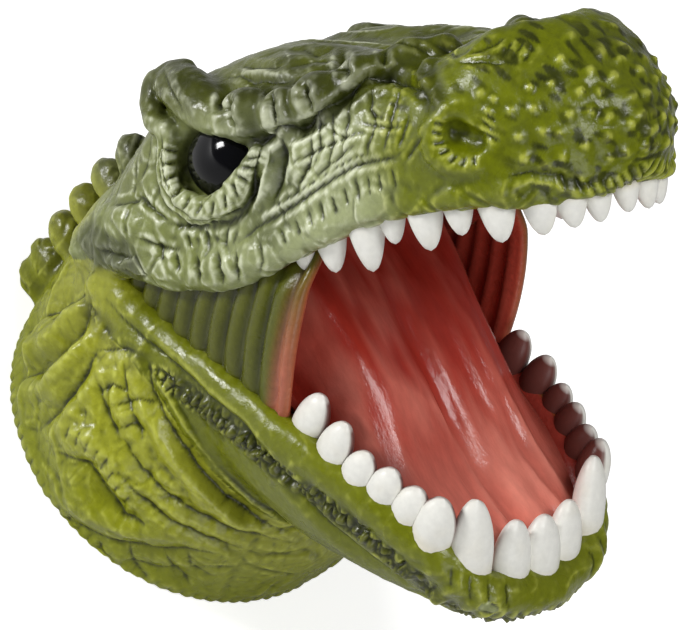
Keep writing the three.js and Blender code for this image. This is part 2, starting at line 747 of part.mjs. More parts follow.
addPiece(neckGroup, 'neck_sleeve', neckSleeve, green);
addPiece(neckGroup, 'neck_fold', neckFold, paleGreen);
addPiece(headGroup, 'skull_skin', skullSkin, green);
addPiece(headGroup, 'eye_right', eyeBall(-1, 0), eyeBlack);
addPiece(headGroup, 'eye_left', eyeBall(1, 0), eyeBlack);
addPiece(headGroup, 'palate', palate(), mouthRed);
addPiece(headGroup, 'mouth_lining', lining, deepRed);
addPiece(headGroup, 'throat_fold', throatFold, paleGreen);
addPiece(headGroup, 'cheek_web_right', cheekWeb(-1), oliveWeb);
addPiece(headGroup, 'cheek_web_left', cheekWeb(1), oliveWeb);
addPiece(jawGroup, 'jaw_skin', jawSkin, green);
addPiece(jawGroup, 'mouth_floor', mouthFloor(), mouthRed);
addPiece(jawGroup, 'tongue', tongue(), mouthRed);

const twoDigits = (number) => String(number).padStart(2, '0');
UPPER_TEETH.slice(0, -1).forEach((row, i) => {
  addPiece(headGroup, `upper_tooth_right_${twoDigits(i + 1)}`, upperTooth(row, -1), ivory);
  addPiece(headGroup, `upper_tooth_left_${twoDigits(i + 1)}`, upperTooth(row, 1), ivory);
});
addPiece(headGroup, 'upper_tooth_front', upperTooth(UPPER_TEETH.at(-1), 1), ivory);

// The two before the last of the lower row are a front tooth on each side, and the fang stands behind them
LOWER_TEETH.slice(0, -2).forEach((row, i) => {
  addPiece(jawGroup, `lower_tooth_right_${i + 1}`, lowerTooth(row, -1), ivory);
  addPiece(jawGroup, `lower_tooth_left_${i + 1}`, lowerTooth(row, 1), ivory);
});
addPiece(jawGroup, 'lower_tooth_front_1', lowerTooth(LOWER_TEETH.at(-2), -1), ivory);
addPiece(jawGroup, 'lower_tooth_front_2', lowerTooth(LOWER_TEETH.at(-1), 1), ivory);
addPiece(jawGroup, 'lower_tooth_front_3', lowerTooth(LOWER_TEETH.at(-2), 1), ivory);

export default puppet;
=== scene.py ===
"""Dresses the dinosaur hand puppet: one soft vinyl head, sculpted and painted, with teeth, tongue and eyes.

The skin is a volume made from the same sections as the solids, meshed once and then cut into the pieces
that move apart, so the pieces meet without a seam. Lengths are millimetres until they reach Blender.
"""
import math

import bpy
import numpy as np
import openvdb
from mathutils import Matrix, Vector


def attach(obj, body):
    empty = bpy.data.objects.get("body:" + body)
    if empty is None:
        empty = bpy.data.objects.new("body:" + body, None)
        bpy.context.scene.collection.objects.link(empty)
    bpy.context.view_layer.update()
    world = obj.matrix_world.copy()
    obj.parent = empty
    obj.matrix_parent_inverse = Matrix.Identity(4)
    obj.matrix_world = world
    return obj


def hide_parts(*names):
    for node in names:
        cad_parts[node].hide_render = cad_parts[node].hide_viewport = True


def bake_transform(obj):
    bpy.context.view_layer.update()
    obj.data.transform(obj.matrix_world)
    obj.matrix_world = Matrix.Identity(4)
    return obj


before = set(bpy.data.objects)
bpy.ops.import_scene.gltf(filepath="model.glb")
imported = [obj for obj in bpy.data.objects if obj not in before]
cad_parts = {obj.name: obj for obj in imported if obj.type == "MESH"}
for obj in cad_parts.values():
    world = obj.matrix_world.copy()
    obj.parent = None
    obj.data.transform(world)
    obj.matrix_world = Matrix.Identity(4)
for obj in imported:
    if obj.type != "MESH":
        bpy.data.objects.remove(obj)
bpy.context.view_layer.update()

MM = 0.001
VOXEL = 1.1
VOLUME_LOW = (-66, -56, -4)
VOLUME_HIGH = (96, 0, 186)

# Neck, jaw and skull, as in the solids
WALL = 3.0
LIP_THICKNESS = 6.0
LIP_HEIGHT = 8.0
NECK_RADIUS = 48.7
NECK_SWELL = 1.3
SLEEVE_TOP = 22.0
FOLD_TOP = 34.0
CROWN_TOP = 80.0
HINGE_X = -27.2
HINGE_Z = 51.0
HEAD_PITCH = 58.7
JAW_PITCH = 15.0
HEAD_LENGTH = 138.0
HEAD_HALF_WIDTH = 41.0
HEAD_HEIGHT = 43.0
LIP_DROOP = 6.8
JAW_LENGTH = 124.0
JAW_HALF_WIDTH = 39.5
JAW_DEPTH = 29.0
JAW_LIP_RISE = 10.5
JAW_SQUARENESS = 2.5
WEB_INNER = 7.0
WEB_OUTER = 62.0
WEB_REACH = 5.0

# Where the skin is cut into pieces
SPLIT_LOW = 36.0
SPLIT_HIGH = 52.0
BISECTOR = math.radians(0.5 * (HEAD_PITCH + JAW_PITCH))

# Camera of the photograph: its frame in pixels, its place and its axes
PHOTO_WIDTH = 689
PHOTO_HEIGHT = 630
FOCAL_PIXELS = 2795.0
CAMERA_PLACE = np.array([186.6, -430.6, 524.3])
CAMERA_RIGHT = np.array([0.4912, 0.7193, 0.4912])
CAMERA_UP = np.array([-0.827, 0.209, 0.521])
CAMERA_FORWARD = -np.cross(CAMERA_RIGHT, CAMERA_UP)


def smooth(stations):
    """Hermite interpolation through rows of place, value, value, ... for arrays of places."""
    table = np.array(stations, float)
    places = table[:, 0]
    values = table[:, 1:]
    low = np.maximum(np.arange(len(places)) - 1, 0)
    high = np.minimum(np.arange(len(places)) + 1, len(places) - 1)
    slopes = (values[high] - values[low]) / (places[high] - places[low])[:, None]

    def at(place):
        place = np.asarray(place, float)
        index = np.clip(np.searchsorted(places, place, side="right") - 1, 0, len(places) - 2)
        span = places[index + 1] - places[index]
        t = np.clip((place - places[index]) / span, 0, 1)
        start = 2 * t**3 - 3 * t**2 + 1
        leave = (t**3 - 2 * t**2 + t) * span
        end = 3 * t**2 - 2 * t**3
        arrive = (t**3 - t**2) * span
        found = []
        for value, slope in zip(values.T, slopes.T):
            near = start * value[index] + leave * slope[index]
            found.append(near + end * value[index + 1] + arrive * slope[index + 1])
        return found

    return at


# Skull: place, half width, height of the widest line, top, lip half width, lip edge, squareness
skull_at = smooth([
    [-0.1, 0.95, 0.05, 0.38, 0.92, 0.02, 2],
    [0, 0.97, 0.08, 0.62, 0.95, 0, 2],
    [0.15, 1, 0.08, 0.92, 0.975, -0.14, 2.8],
    [0.3, 0.97, 0.05, 1, 0.955, -LIP_DROOP / HEAD_HEIGHT, 3.4],
    [0.44, 0.925, 0.12, 0.99, 0.905, -0.05, 3.5],
    [0.6, 0.85, 0.23, 0.91, 0.825, 0.08, 3.3],
    [0.7, 0.8, 0.29, 0.88, 0.775, 0.125, 3],
    [0.76, 0.76, 0.32, 0.94, 0.735, 0.125, 2.7],
    [0.81, 0.72, 0.345, 1, 0.68, 0.115, 2.5],
    [0.87, 0.62, 0.37, 0.97, 0.56, 0.085, 2.3],
    [0.94, 0.42, 0.37, 0.79, 0.33, 0.1, 2.1],
    [0.98, 0.22, 0.37, 0.58, 0.15, 0.2, 2],
    [1, 0.08, 0.37, 0.45, 0.05, 0.29, 2],
])
# Jaw: place, half width, lip edge as a share of its rise, bottom
jaw_at = smooth([
    [0, 1.01, -0.15, -0.55],
    [0.16, 1, 0, -0.86],
    [0.36, 0.98, 0.45, -1],
    [0.56, 0.96, 0.85, -0.97],
    [0.73, 0.84, 1, -0.76],
    [0.87, 0.68, 0.78, -0.5],
    [0.95, 0.48, 0.34, -0.36],
    [0.985, 0.28, 0.2, -0.28],
    [1, 0.1, 0.1, -0.2],
])
# Neck: height, shift of the centre, half length, half width
neck_at = smooth([
    [0, 0, NECK_RADIUS, NECK_RADIUS],
    [SLEEVE_TOP, 0, NECK_RADIUS + NECK_SWELL, NECK_RADIUS + NECK_SWELL],
    [FOLD_TOP, -1, NECK_RADIUS - 0.5, NECK_RADIUS - 1.5],
    [HINGE_Z, -4, NECK_RADIUS - 3.5, NECK_RADIUS - 7],
    [HINGE_Z + 15, -8, NECK_RADIUS - 7, NECK_RADIUS - 7.5],
    [CROWN_TOP, -12, NECK_RADIUS - 12, NECK_RADIUS - 9],
])


def to_local(x, z, pitch):
    """Side view of the part in the frame of a jaw, from the mouth corner along the jaw."""
    c = math.cos(math.radians(pitch))
    s = math.sin(math.radians(pitch))
    dx = x - HINGE_X
    dz = z - HINGE_Z
    return c * dx + s * dz, -s * dx + c * dz


def to_part(points, pitch):
    """Points of a jaw's frame in the part's frame."""
    points = np.asarray(points, float)
    c = math.cos(math.radians(pitch))
    s = math.sin(math.radians(pitch))
    x = c * points[..., 0] - s * points[..., 2] + HINGE_X
    z = s * points[..., 0] + c * points[..., 2] + HINGE_Z
    return np.stack([x, points[..., 1], z], axis=-1)


def on_head(points):
    return to_part(points, HEAD_PITCH)


def on_jaw(points):
    return to_part(points, JAW_PITCH)


def join(a, b, softness):
    """Union of two fields with a fillet."""
    h = np.maximum(softness - np.abs(a - b), 0) / softness
    return np.minimum(a, b) - h * h * softness / 4


def cut(a, b, softness):
    """What is in a and not in b, with a rounded edge."""
    return -join(-a, b, softness)


def ramp(value, start, end):
    """Smooth step from 0 at start to 1 at end."""
    t = np.clip((value - start) / (end - start), 0, 1)
    return t * t * (3 - 2 * t)


def skull_section(lx):
    """Half width, widest line, top, lip half width, lip edge and squareness at a place along the skull."""
    half, widest, top, lip_half, lip, square = skull_at(lx / HEAD_LENGTH)
    return (half * HEAD_HALF_WIDTH, widest * HEAD_HEIGHT, top * HEAD_HEIGHT,
            lip_half * HEAD_HALF_WIDTH, lip * HEAD_HEIGHT, square)


def jaw_section(lx):
    """Half width, lip edge and bottom of the jaw at a place along it."""
    half, rise, bottom = jaw_at(lx / JAW_LENGTH)
    return half * JAW_HALF_WIDTH, rise * JAW_LIP_RISE, bottom * JAW_DEPTH


def skull_side(lx, lz):
    """Half width of the skull at a place along it and a height."""
    half, widest, top, _, _, square = skull_section(np.asarray(lx, float))
    share = np.clip((lz - widest) / (top - widest), 0, 1)
    return half * (1 - share**square) ** (1 / square)


def dome(side, rise, half, height, square):
    """Distance, roughly, to a superellipse of the given half width and height."""
    norm = ((side / half) ** square + (rise / height) ** square) ** (1 / square)
    return np.hypot(side, rise) * (1 - 1 / norm)


TINY = 0.01
LIP_EDGE_ROUND = 3.0
END_ROUND = 5.0
# Hollow of the mouth in each jaw: depth, start, end as a share of the jaw's length, roundness
VAULT = 7.0
VAULT_START = 25.0
HEAD_VAULT_END = 0.9
JAW_VAULT_END = 0.93
VAULT_ROUND = 2.0
HEAD_BACK = -0.1 * HEAD_LENGTH
MOUTH_CORNER_ROUND = 4.0


def skull_field(x, y, z):
    """Distance, roughly, to the skull with its vaulted mouth."""
    lx, lz = to_local(x, z, HEAD_PITCH)
    half, widest, top, lip_half, lip, square = skull_section(lx)
    side = np.abs(y) + TINY
    upper = dome(side, np.maximum(lz - widest, 0) + TINY, half, top - widest, square)
    share = np.clip((widest - lz) / np.maximum(widest - lip, TINY), 0, 1)
    flank = side - (half + (lip_half - half) * share)
    field = np.where(lz > widest, upper, flank)
    field = cut(field, lz - lip, LIP_EDGE_ROUND)
    field = cut(np.maximum(field, HEAD_BACK - lx), HEAD_LENGTH - lx, END_ROUND)
    vault = np.maximum(side - (lip_half - LIP_THICKNESS), lz - (lip + VAULT))
    vault = np.maximum(vault, np.maximum(VAULT_START - lx, lx - HEAD_VAULT_END * HEAD_LENGTH))
    return cut(field, vault, VAULT_ROUND)


def jaw_field(x, y, z):
    """Distance, roughly, to the lower jaw with its vaulted mouth."""
    lx, lz = to_local(x, z, JAW_PITCH)
    half, lip, bottom = jaw_section(lx)
    widest = lip - 0.5 * LIP_HEIGHT
    side = np.abs(y) + TINY
    lower = dome(side, np.maximum(widest - lz, 0) + TINY, half, widest - bottom, JAW_SQUARENESS)
    field = np.where(lz < widest, lower, side - half)
    field = cut(field, lip - lz, LIP_EDGE_ROUND)
    field = cut(np.maximum(field, -lx), JAW_LENGTH - lx, END_ROUND)
    vault = np.maximum(side - (half - LIP_THICKNESS), lip - VAULT - lz)
    vault = np.maximum(vault, np.maximum(VAULT_START - lx, lx - JAW_VAULT_END * JAW_LENGTH))
    return cut(field, vault, VAULT_ROUND)


def neck_tube(x, y, z):
    shift, length, width = neck_at(z)
    side = np.abs(y) + TINY
    ahead = x - shift + TINY
    norm = np.hypot(ahead / length, side / width)
    return np.hypot(ahead, side) * (1 - 1 / norm)


def neck_field(x, y, z):
    """The neck up to the crown, without the wedge that the open mouth takes."""
    _, lz = to_local(x, z, HEAD_PITCH)
    field = np.maximum(neck_tube(x, y, z), z - CROWN_TOP)
    mouth = np.maximum(HINGE_Z - z, lz)
    return cut(field, mouth, MOUTH_CORNER_ROUND)


class Volume:
    """A field on a grid that covers the right half of the part, up to its middle plane."""

    def __init__(self, low, high):
        count = np.ceil((np.array(high) - np.array(low)) / VOXEL).astype(int) + 1
        self.low = np.array([low[0], -(count[1] - 1) * VOXEL, low[2]])
        self.axes = [self.low[k] + VOXEL * np.arange(count[k]) for k in range(3)]
        self.field = None

    def over(self, function, box=(slice(None),) * 3):
        x = self.axes[0][box[0]][:, None, None]
        y = self.axes[1][box[1]][None, :, None]
        z = self.axes[2][box[2]][None, None, :]
        return function(x, y, z)

    def box(self, points, reach):
        slices = []
        for k in range(3):
            axis = self.axes[k]
            start = np.searchsorted(axis, points[:, k].min() - reach)
            stop = np.searchsorted(axis, points[:, k].max() + reach)
            slices.append(slice(max(start - 1, 0), stop + 1))
        return tuple(slices)

    def work(self, box, shape, softness, hollow):
        merge = cut if hollow else join
        self.field[box] = merge(self.field[box], shape, softness)

    def tube(self, points, radii, softness, hollow=False):
        """Adds or cuts a tube through points, whose radius runs through radii."""
        points = np.asarray(points, float)
        radii = np.broadcast_to(np.asarray(radii, float), len(points))
        box = self.box(points, radii.max() + 3 * softness)

        def distance(x, y, z):
            best = np.inf
            for a, b, start, end in zip(points[:-1], points[1:], radii[:-1], radii[1:]):
                ab = b - a
                along = (x - a[0]) * ab[0] + (y - a[1]) * ab[1] + (z - a[2]) * ab[2]
                t = np.clip(along / max(ab @ ab, TINY), 0, 1)
                gap = (x - a[0] - t * ab[0]) ** 2 + (y - a[1] - t * ab[1]) ** 2
                gap = gap + (z - a[2] - t * ab[2]) ** 2
                best = np.minimum(best, np.sqrt(gap) - start - t * (end - start))
            return best

        self.work(box, self.over(distance, box), softness, hollow)

    def ball(self, centre, radii, softness, hollow=False, pitch=0.0):
        """Adds or cuts an ellipsoid whose axes are pitched like a jaw."""
        centre = np.asarray(centre, float)
        radii = np.asarray(radii, float)
        box = self.box(centre[None], radii.max() + 3 * softness)
        c = math.cos(math.radians(pitch))
        s = math.sin(math.radians(pitch))

        def distance(x, y, z):
            dx = x - centre[0]
            dz = z - centre[2]
            ahead = (c * dx + s * dz) / radii[0]
            rise = (c * dz - s * dx) / radii[2]
            norm = np.sqrt(ahead**2 + ((y - centre[1]) / radii[1]) ** 2 + rise**2)
            return (norm - 1) * radii.min()

        self.work(box, self.over(distance, box), softness, hollow)

    def mesh(self):
        """Points and quads of the whole surface, both halves."""
        whole = np.concatenate([self.field, self.field[:, -2::-1, :]], axis=1).astype(np.float32)
        grid = openvdb.FloatGrid(float(whole.max()))
        grid.copyFromArray(whole)
        found, faces = grid.convertToQuads(isovalue=0.0)
        return found.astype(float) * VOXEL + self.low, faces.astype(np.int64)


# Forms of the skull in its own frame, on the right side: x along the jaw and z up.
# Where y isn't given, it follows from the skull's side.
KNOB_PLACES = [(28, -31, 38.4), (33.5, -32.8, 36.5), (40, -35, 33.6), (46, -37, 30.8), (49.5, -38, 29.4)]
KNOB_RADII = [5.2, 6.0, 5.6, 4.6, 3.4]
KNOB_RIM_PLACES = [
    (29.5, -28.5, 42), (24.5, -29.5, 41.6), (20.8, -31.4, 39.4), (20.8, -33.6, 35.6),
    (24.5, -36.8, 31.2), (31, -38.4, 28.4),
]
KNOB_RIM_RADII = [2.2, 2.7, 2.9, 2.8, 2.6, 2.0]
# Place and height, then length and thickness of each lobe of the brow
BROW_LOBES = [
    (56, 30.2, 6.8, 6.4), (66.5, 29.8, 4.8, 5.8), (75, 32, 6.2, 6.0), (83.5, 35, 5.2, 5.2),
    (89.5, 37.2, 4.4, 4.6), (95, 37.4, 3.4, 4.0),
]
BROW_CORE = 3.8
BEADS_SUNK = 0.4
BROW_BEADS = [(99, 35.2, 2.5), (102.5, 31.6, 2.3), (106.5, 28.2, 2.1)]
LID_PLACES = [
    (29.6, 29), (29.4, 24.9), (29.6, 20.9), (30.8, 16.8), (33.8, 13.2), (38.3, 10.9), (42.9, 10.4),
    (47.2, 11.6), (51.4, 14.4), (56, 18.3), (60.2, 22.4),
]
LID_RADII = [2.1, 2.4, 2.6, 2.8, 3.2, 3.5, 3.6, 3.5, 3.3, 3.0, 2.4]
LID_SUNK = -0.5
SOCKET_PLACE = (43.4, -39.0, 21.0)
SOCKET_RADII = (12.4, 8.8, 9.6)
EYE_PLACE = (43.8, -34.5, 20.5)
EYE_RADII = (10.6, 6.0, 8.6)
NOSTRIL_RIM_PLACES = [
    (113, 27.6), (108.6, 26.4), (105.4, 22.6), (105.8, 17.8), (109.6, 14.8), (114.5, 14.2),
]
NOSTRIL_RIM_RADII = [1.4, 2.2, 2.7, 2.6, 2.1, 1.3]
NOSTRIL_PIT = [(110.6, 21.4), (114.4, 19.6)]
NOSTRIL_PIT_RADII = [3.0, 2.5]
SNOUT_EDGE = [(97.5, 38.4), (103.2, 35.2), (108, 31.6), (112, 27.6)]
SNOUT_EDGE_RADIUS = 0.9
CHEEK_PAD = [(5, 9, 3.2), (14, 9, 4.2), (22, 7, 3.4)]
UPPER_LIP_LOBES = [
    (2, 4.5, 4.4), (9, 1.6, 5.0), (17, -0.2, 4.6), (25, -1.8, 5.2), (32, -2.8, 4.8), (39, -3, 5.2),
    (46.5, -2.2, 5.0), (54, -0.2, 4.6), (62, 2.2, 4.0), (72, 4.4, 3.5), (84, 7, 3.1), (97, 8.4, 2.9),
    (108, 8.8, 2.7), (118, 8.4, 2.4),
]
CROWN_VALLEY = [(50, 0, 56), (66, 0, 52.2), (83, 0, 48.6), (97, 0, 48), (105, 0, 51.5)]
CROWN_VALLEY_RADIUS = 13.0
# Plates down the back of the neck, in the part's frame
SCUTES = [
    (-48, -20.5, 58.2), (-49.2, -20.5, 46.5), (-49.6, -20.5, 34.5), (-49.6, -20.5, 22.2),
    (-49.2, -20.5, 11), (-48.6, -20.5, 3.5),
]
SCUTE_RADII = (7.2, 4.7, 5.2)


def beside(places, sunk):
    """Points on the right side of the skull, sunk into it."""
    table = np.array(places, float)
    side = skull_side(table[:, 0], table[:, 1])
    return on_head(np.stack([table[:, 0], sunk - side, table[:, 1]], axis=1))


def jaw_line(places, sunk, drop):
    """Points along the lip of the lower jaw, sunk into it and dropped below its edge."""
    lx = np.array(places, float)
    half, lip, _ = jaw_section(lx)
    return on_jaw(np.stack([lx, sunk - half, lip - drop], axis=1))


# Roll of the lower lip and the flaky ridge under it, in the jaw's frame
JAW_ROLL_PLACES = [2, 8, 16, 24, 33, 42, 50, 60, 70, 80, 90, 99, 107, 113, 116.5]
JAW_ROLL_FRONT = [(118.6, -9, -1.4), (119.8, -4.5, -1.7), (120.2, 0, -1.8)]
JAW_ROLL_SUNK = 3.4
JAW_ROLL_DROP = 4.4
JAW_ROLL_RADIUS = 4.9
JAW_RIDGE_DROP = 10.5
JAW_RIDGE_STEP = 3.7
JAW_RIDGE_START = 4.0
JAW_RIDGE_END = 112.0
JAW_RIDGE_SUNK = 1.0
JAW_RIDGE_FRONT = [(116.5, -15.5, -5.5), (120.6, -8, -5.6), (121.8, 0, -5.8)]


def ridge_points(step):
    places = np.arange(JAW_RIDGE_START, JAW_RIDGE_END, step)
    return jaw_line(places, JAW_RIDGE_SUNK, JAW_RIDGE_DROP)


def ridge_path():
    """The flaky ridge under the lower lip, from the mouth corner round to the middle of the chin."""
    side = ridge_points(3 * JAW_RIDGE_STEP)
    return np.concatenate([side, on_jaw(JAW_RIDGE_FRONT)])


def sculpt():
    """The whole skin as one volume: forms first, then openings."""
    volume = Volume(VOLUME_LOW, VOLUME_HIGH)
    volume.field = join(volume.over(neck_field), volume.over(skull_field), softness=8.0)
    volume.field = join(volume.field, volume.over(jaw_field), softness=4.0)
    roll = jaw_line(JAW_ROLL_PLACES, JAW_ROLL_SUNK, JAW_ROLL_DROP)
    volume.tube(np.concatenate([roll, on_jaw(JAW_ROLL_FRONT)]), JAW_ROLL_RADIUS, softness=1.6)
    pad = np.array(CHEEK_PAD)
    volume.tube(beside(pad[:, :2], 2.0), pad[:, 2] + 1.6, softness=3.0)
    lobes = np.array(UPPER_LIP_LOBES)
    lip = beside(lobes[:, :2], 2.4)
    for place, radius in zip(lip, lobes[:, 2]):
        volume.ball(place, (1.15 * radius, radius, radius), softness=2.2, pitch=HEAD_PITCH)
    volume.tube(lip, 0.86 * lobes[:, 2], softness=1.6)
    volume.ball(on_head(SOCKET_PLACE), SOCKET_RADII, softness=1.5, hollow=True, pitch=HEAD_PITCH)
    volume.tube(beside(LID_PLACES, LID_SUNK), LID_RADII, softness=1.0)
    volume.tube(on_head(CROWN_VALLEY), CROWN_VALLEY_RADIUS, softness=9.0, hollow=True)
    brow = np.array(BROW_LOBES)
    spine = beside(brow[:, :2], -0.4)
    volume.tube(spine, BROW_CORE, softness=1.5)
    for place, (_, _, long, thick) in zip(spine, brow):
        volume.ball(place, (long, thick, thick), softness=1.0, pitch=HEAD_PITCH)
    volume.tube(on_head(KNOB_PLACES), KNOB_RADII, softness=2.0)
    volume.tube(on_head(KNOB_RIM_PLACES), KNOB_RIM_RADII, softness=1.0)
    beads = np.array(BROW_BEADS)
    for place, radius in zip(beside(beads[:, :2], BEADS_SUNK), beads[:, 2]):
        volume.ball(place, (radius, radius, radius), softness=1.0)
    volume.tube(beside(NOSTRIL_RIM_PLACES, 0.2), NOSTRIL_RIM_RADII, softness=1.2)
    volume.tube(beside(NOSTRIL_PIT, 0.8), NOSTRIL_PIT_RADII, softness=1.0, hollow=True)
    volume.tube(beside(SNOUT_EDGE, 0.2), SNOUT_EDGE_RADIUS, softness=1.2)
    for place in SCUTES:
        volume.ball(place, SCUTE_RADII, softness=1.8)
    for i, place in enumerate(ridge_points(JAW_RIDGE_STEP)):
        radius = 1.9 + 0.5 * math.sin(2.4 * i)
        lifted = place + np.array([0, 0, 0.8 * math.sin(4.1 * i)])
        volume.ball(lifted, (0.9 * radius, radius, 1.2 * radius), softness=0.6)
    inside = volume.over(lambda x, y, z: np.maximum(neck_tube(x, y, z) + WALL, z - FOLD_TOP))
    volume.field = cut(volume.field, inside, softness=3.0)
    volume.field = np.maximum(volume.field, -volume.axes[2][None, None, :])
    return volume.mesh()


def new_mesh(name, points, faces):
    mesh = bpy.data.meshes.new(name)
    mesh.from_pydata(points.tolist(), [], faces.tolist())
    mesh.validate()
    return mesh


def add_object(name, mesh):
    obj = bpy.data.objects.new(name, mesh)
    bpy.context.scene.collection.objects.link(obj)
    return obj


def subdivided(points, quads):
    """The surface with each quad in four, rounded."""
    obj = add_object("rough", new_mesh("rough", points, quads))
    modifier = obj.modifiers.new("finer", "SUBSURF")
    modifier.levels = 1
    finer = bpy.data.meshes.new_from_object(obj.evaluated_get(bpy.context.evaluated_depsgraph_get()))
    found = np.empty(len(finer.vertices) * 3)
    finer.vertices.foreach_get("co", found)
    faces = np.empty(len(finer.loops), np.int32)
    finer.loops.foreach_get("vertex_index", faces)
    bpy.data.meshes.remove(obj.data)
    bpy.data.meshes.remove(finer)
    return found.reshape(-1, 3), faces.reshape(-1, 4).astype(np.int64)


def gather(index, values, count):
    """Sum of the values that share an index, in each column."""
    return np.stack([np.bincount(index, values[:, k], count) for k in range(values.shape[1])], axis=1)


def vertex_normals(points, quads):
    a, b, c, d = (points[quads[:, k]] for k in range(4))
    face = np.cross(c - a, d - b)
    total = sum(gather(quads[:, k], face, len(points)) for k in range(4))
    return total / np.maximum(np.linalg.norm(total, axis=1, keepdims=True), 1e-9)


def relax(values, quads, rounds):
    """Moves each point's values half of the way to the mean of its neighbours."""
    for _ in range(rounds):
        total = np.zeros_like(values)
        count = np.zeros(len(values))
        for k in range(4):
            for step in (1, 3):
                total += gather(quads[:, k], values[quads[:, (k + step) % 4]], len(values))
            count += 2 * np.bincount(quads[:, k], minlength=len(values))
        values = values + 0.5 * (total / count[:, None] - values)
    return values


# Noise
HASH_A = np.uint32(0x8DA6B343)
HASH_B = np.uint32(0xD8163841)
HASH_C = np.uint32(0xCB1AB31F)
HASH_SEED = np.uint32(0x9E3779B9)
HASH_MIX = np.uint32(0x2C1B3C6D)
HASH_LAST = np.uint32(0x297A2D39)


def hashed(cells, seed):
    """A number from 0 to 1 for each whole-number cell."""
    i, j, k = (cells[..., n].astype(np.int64).astype(np.uint32) for n in range(3))
    h = i * HASH_A ^ j * HASH_B ^ k * HASH_C ^ np.array([seed], np.uint32) * HASH_SEED
    h = (h ^ (h >> np.uint32(15))) * HASH_MIX
    h = (h ^ (h >> np.uint32(12))) * HASH_LAST
    return (h ^ (h >> np.uint32(15))) / 2.0**32


def noise(points, size, seed):
    """Smooth noise from -1 to 1 with lumps of about the given size."""
    p = points / size
    base = np.floor(p)
    f = p - base
    f = f * f * (3 - 2 * f)
    total = np.zeros(len(points))
    for corner in np.ndindex(2, 2, 2):
        weight = np.prod(np.where(np.array(corner) == 1, f, 1 - f), axis=1)
        total += weight * hashed(base + np.array(corner), seed)
    return 2 * total - 1


def layered(points, size, seed, layers=3):
    """Noise with finer noise on it, from -1 to 1."""
    total = sum(noise(points, size / 2**k, seed + k) / 2**k for k in range(layers))
    return total / (2 - 0.5 ** (layers - 1))


def cells(points, size, seed):
    """Distance to the nearest and second nearest of scattered spots, and a number for the nearest."""
    p = points / size
    base = np.floor(p)
    first = np.full(len(points), 9.0)
    second = np.full(len(points), 9.0)
    name = np.zeros(len(points))
    for offset in np.ndindex(3, 3, 3):
        cell = base + np.array(offset) - 1
        spot = cell + np.stack([hashed(cell, seed + k) for k in range(3)], axis=1)
        gap = np.linalg.norm(spot - p, axis=1)
        nearer = gap < first
        second = np.where(nearer, first, np.minimum(second, gap))
        name = np.where(nearer, hashed(cell, seed + 3), name)
        first = np.where(nearer, gap, first)
    return first, second, name


def ridged(points, size, seed):
    """Sharp crests where noise changes sign, from 0 to 1."""
    return 1 - np.abs(noise(points, size, seed))


def project(points):
    """Where points show in the photograph."""
    ray = points - CAMERA_PLACE
    depth = ray @ CAMERA_FORWARD
    u = 0.5 * PHOTO_WIDTH + FOCAL_PIXELS * (ray @ CAMERA_RIGHT) / depth
    v = 0.5 * PHOTO_HEIGHT - FOCAL_PIXELS * (ray @ CAMERA_UP) / depth
    return np.stack([u, v], axis=1)


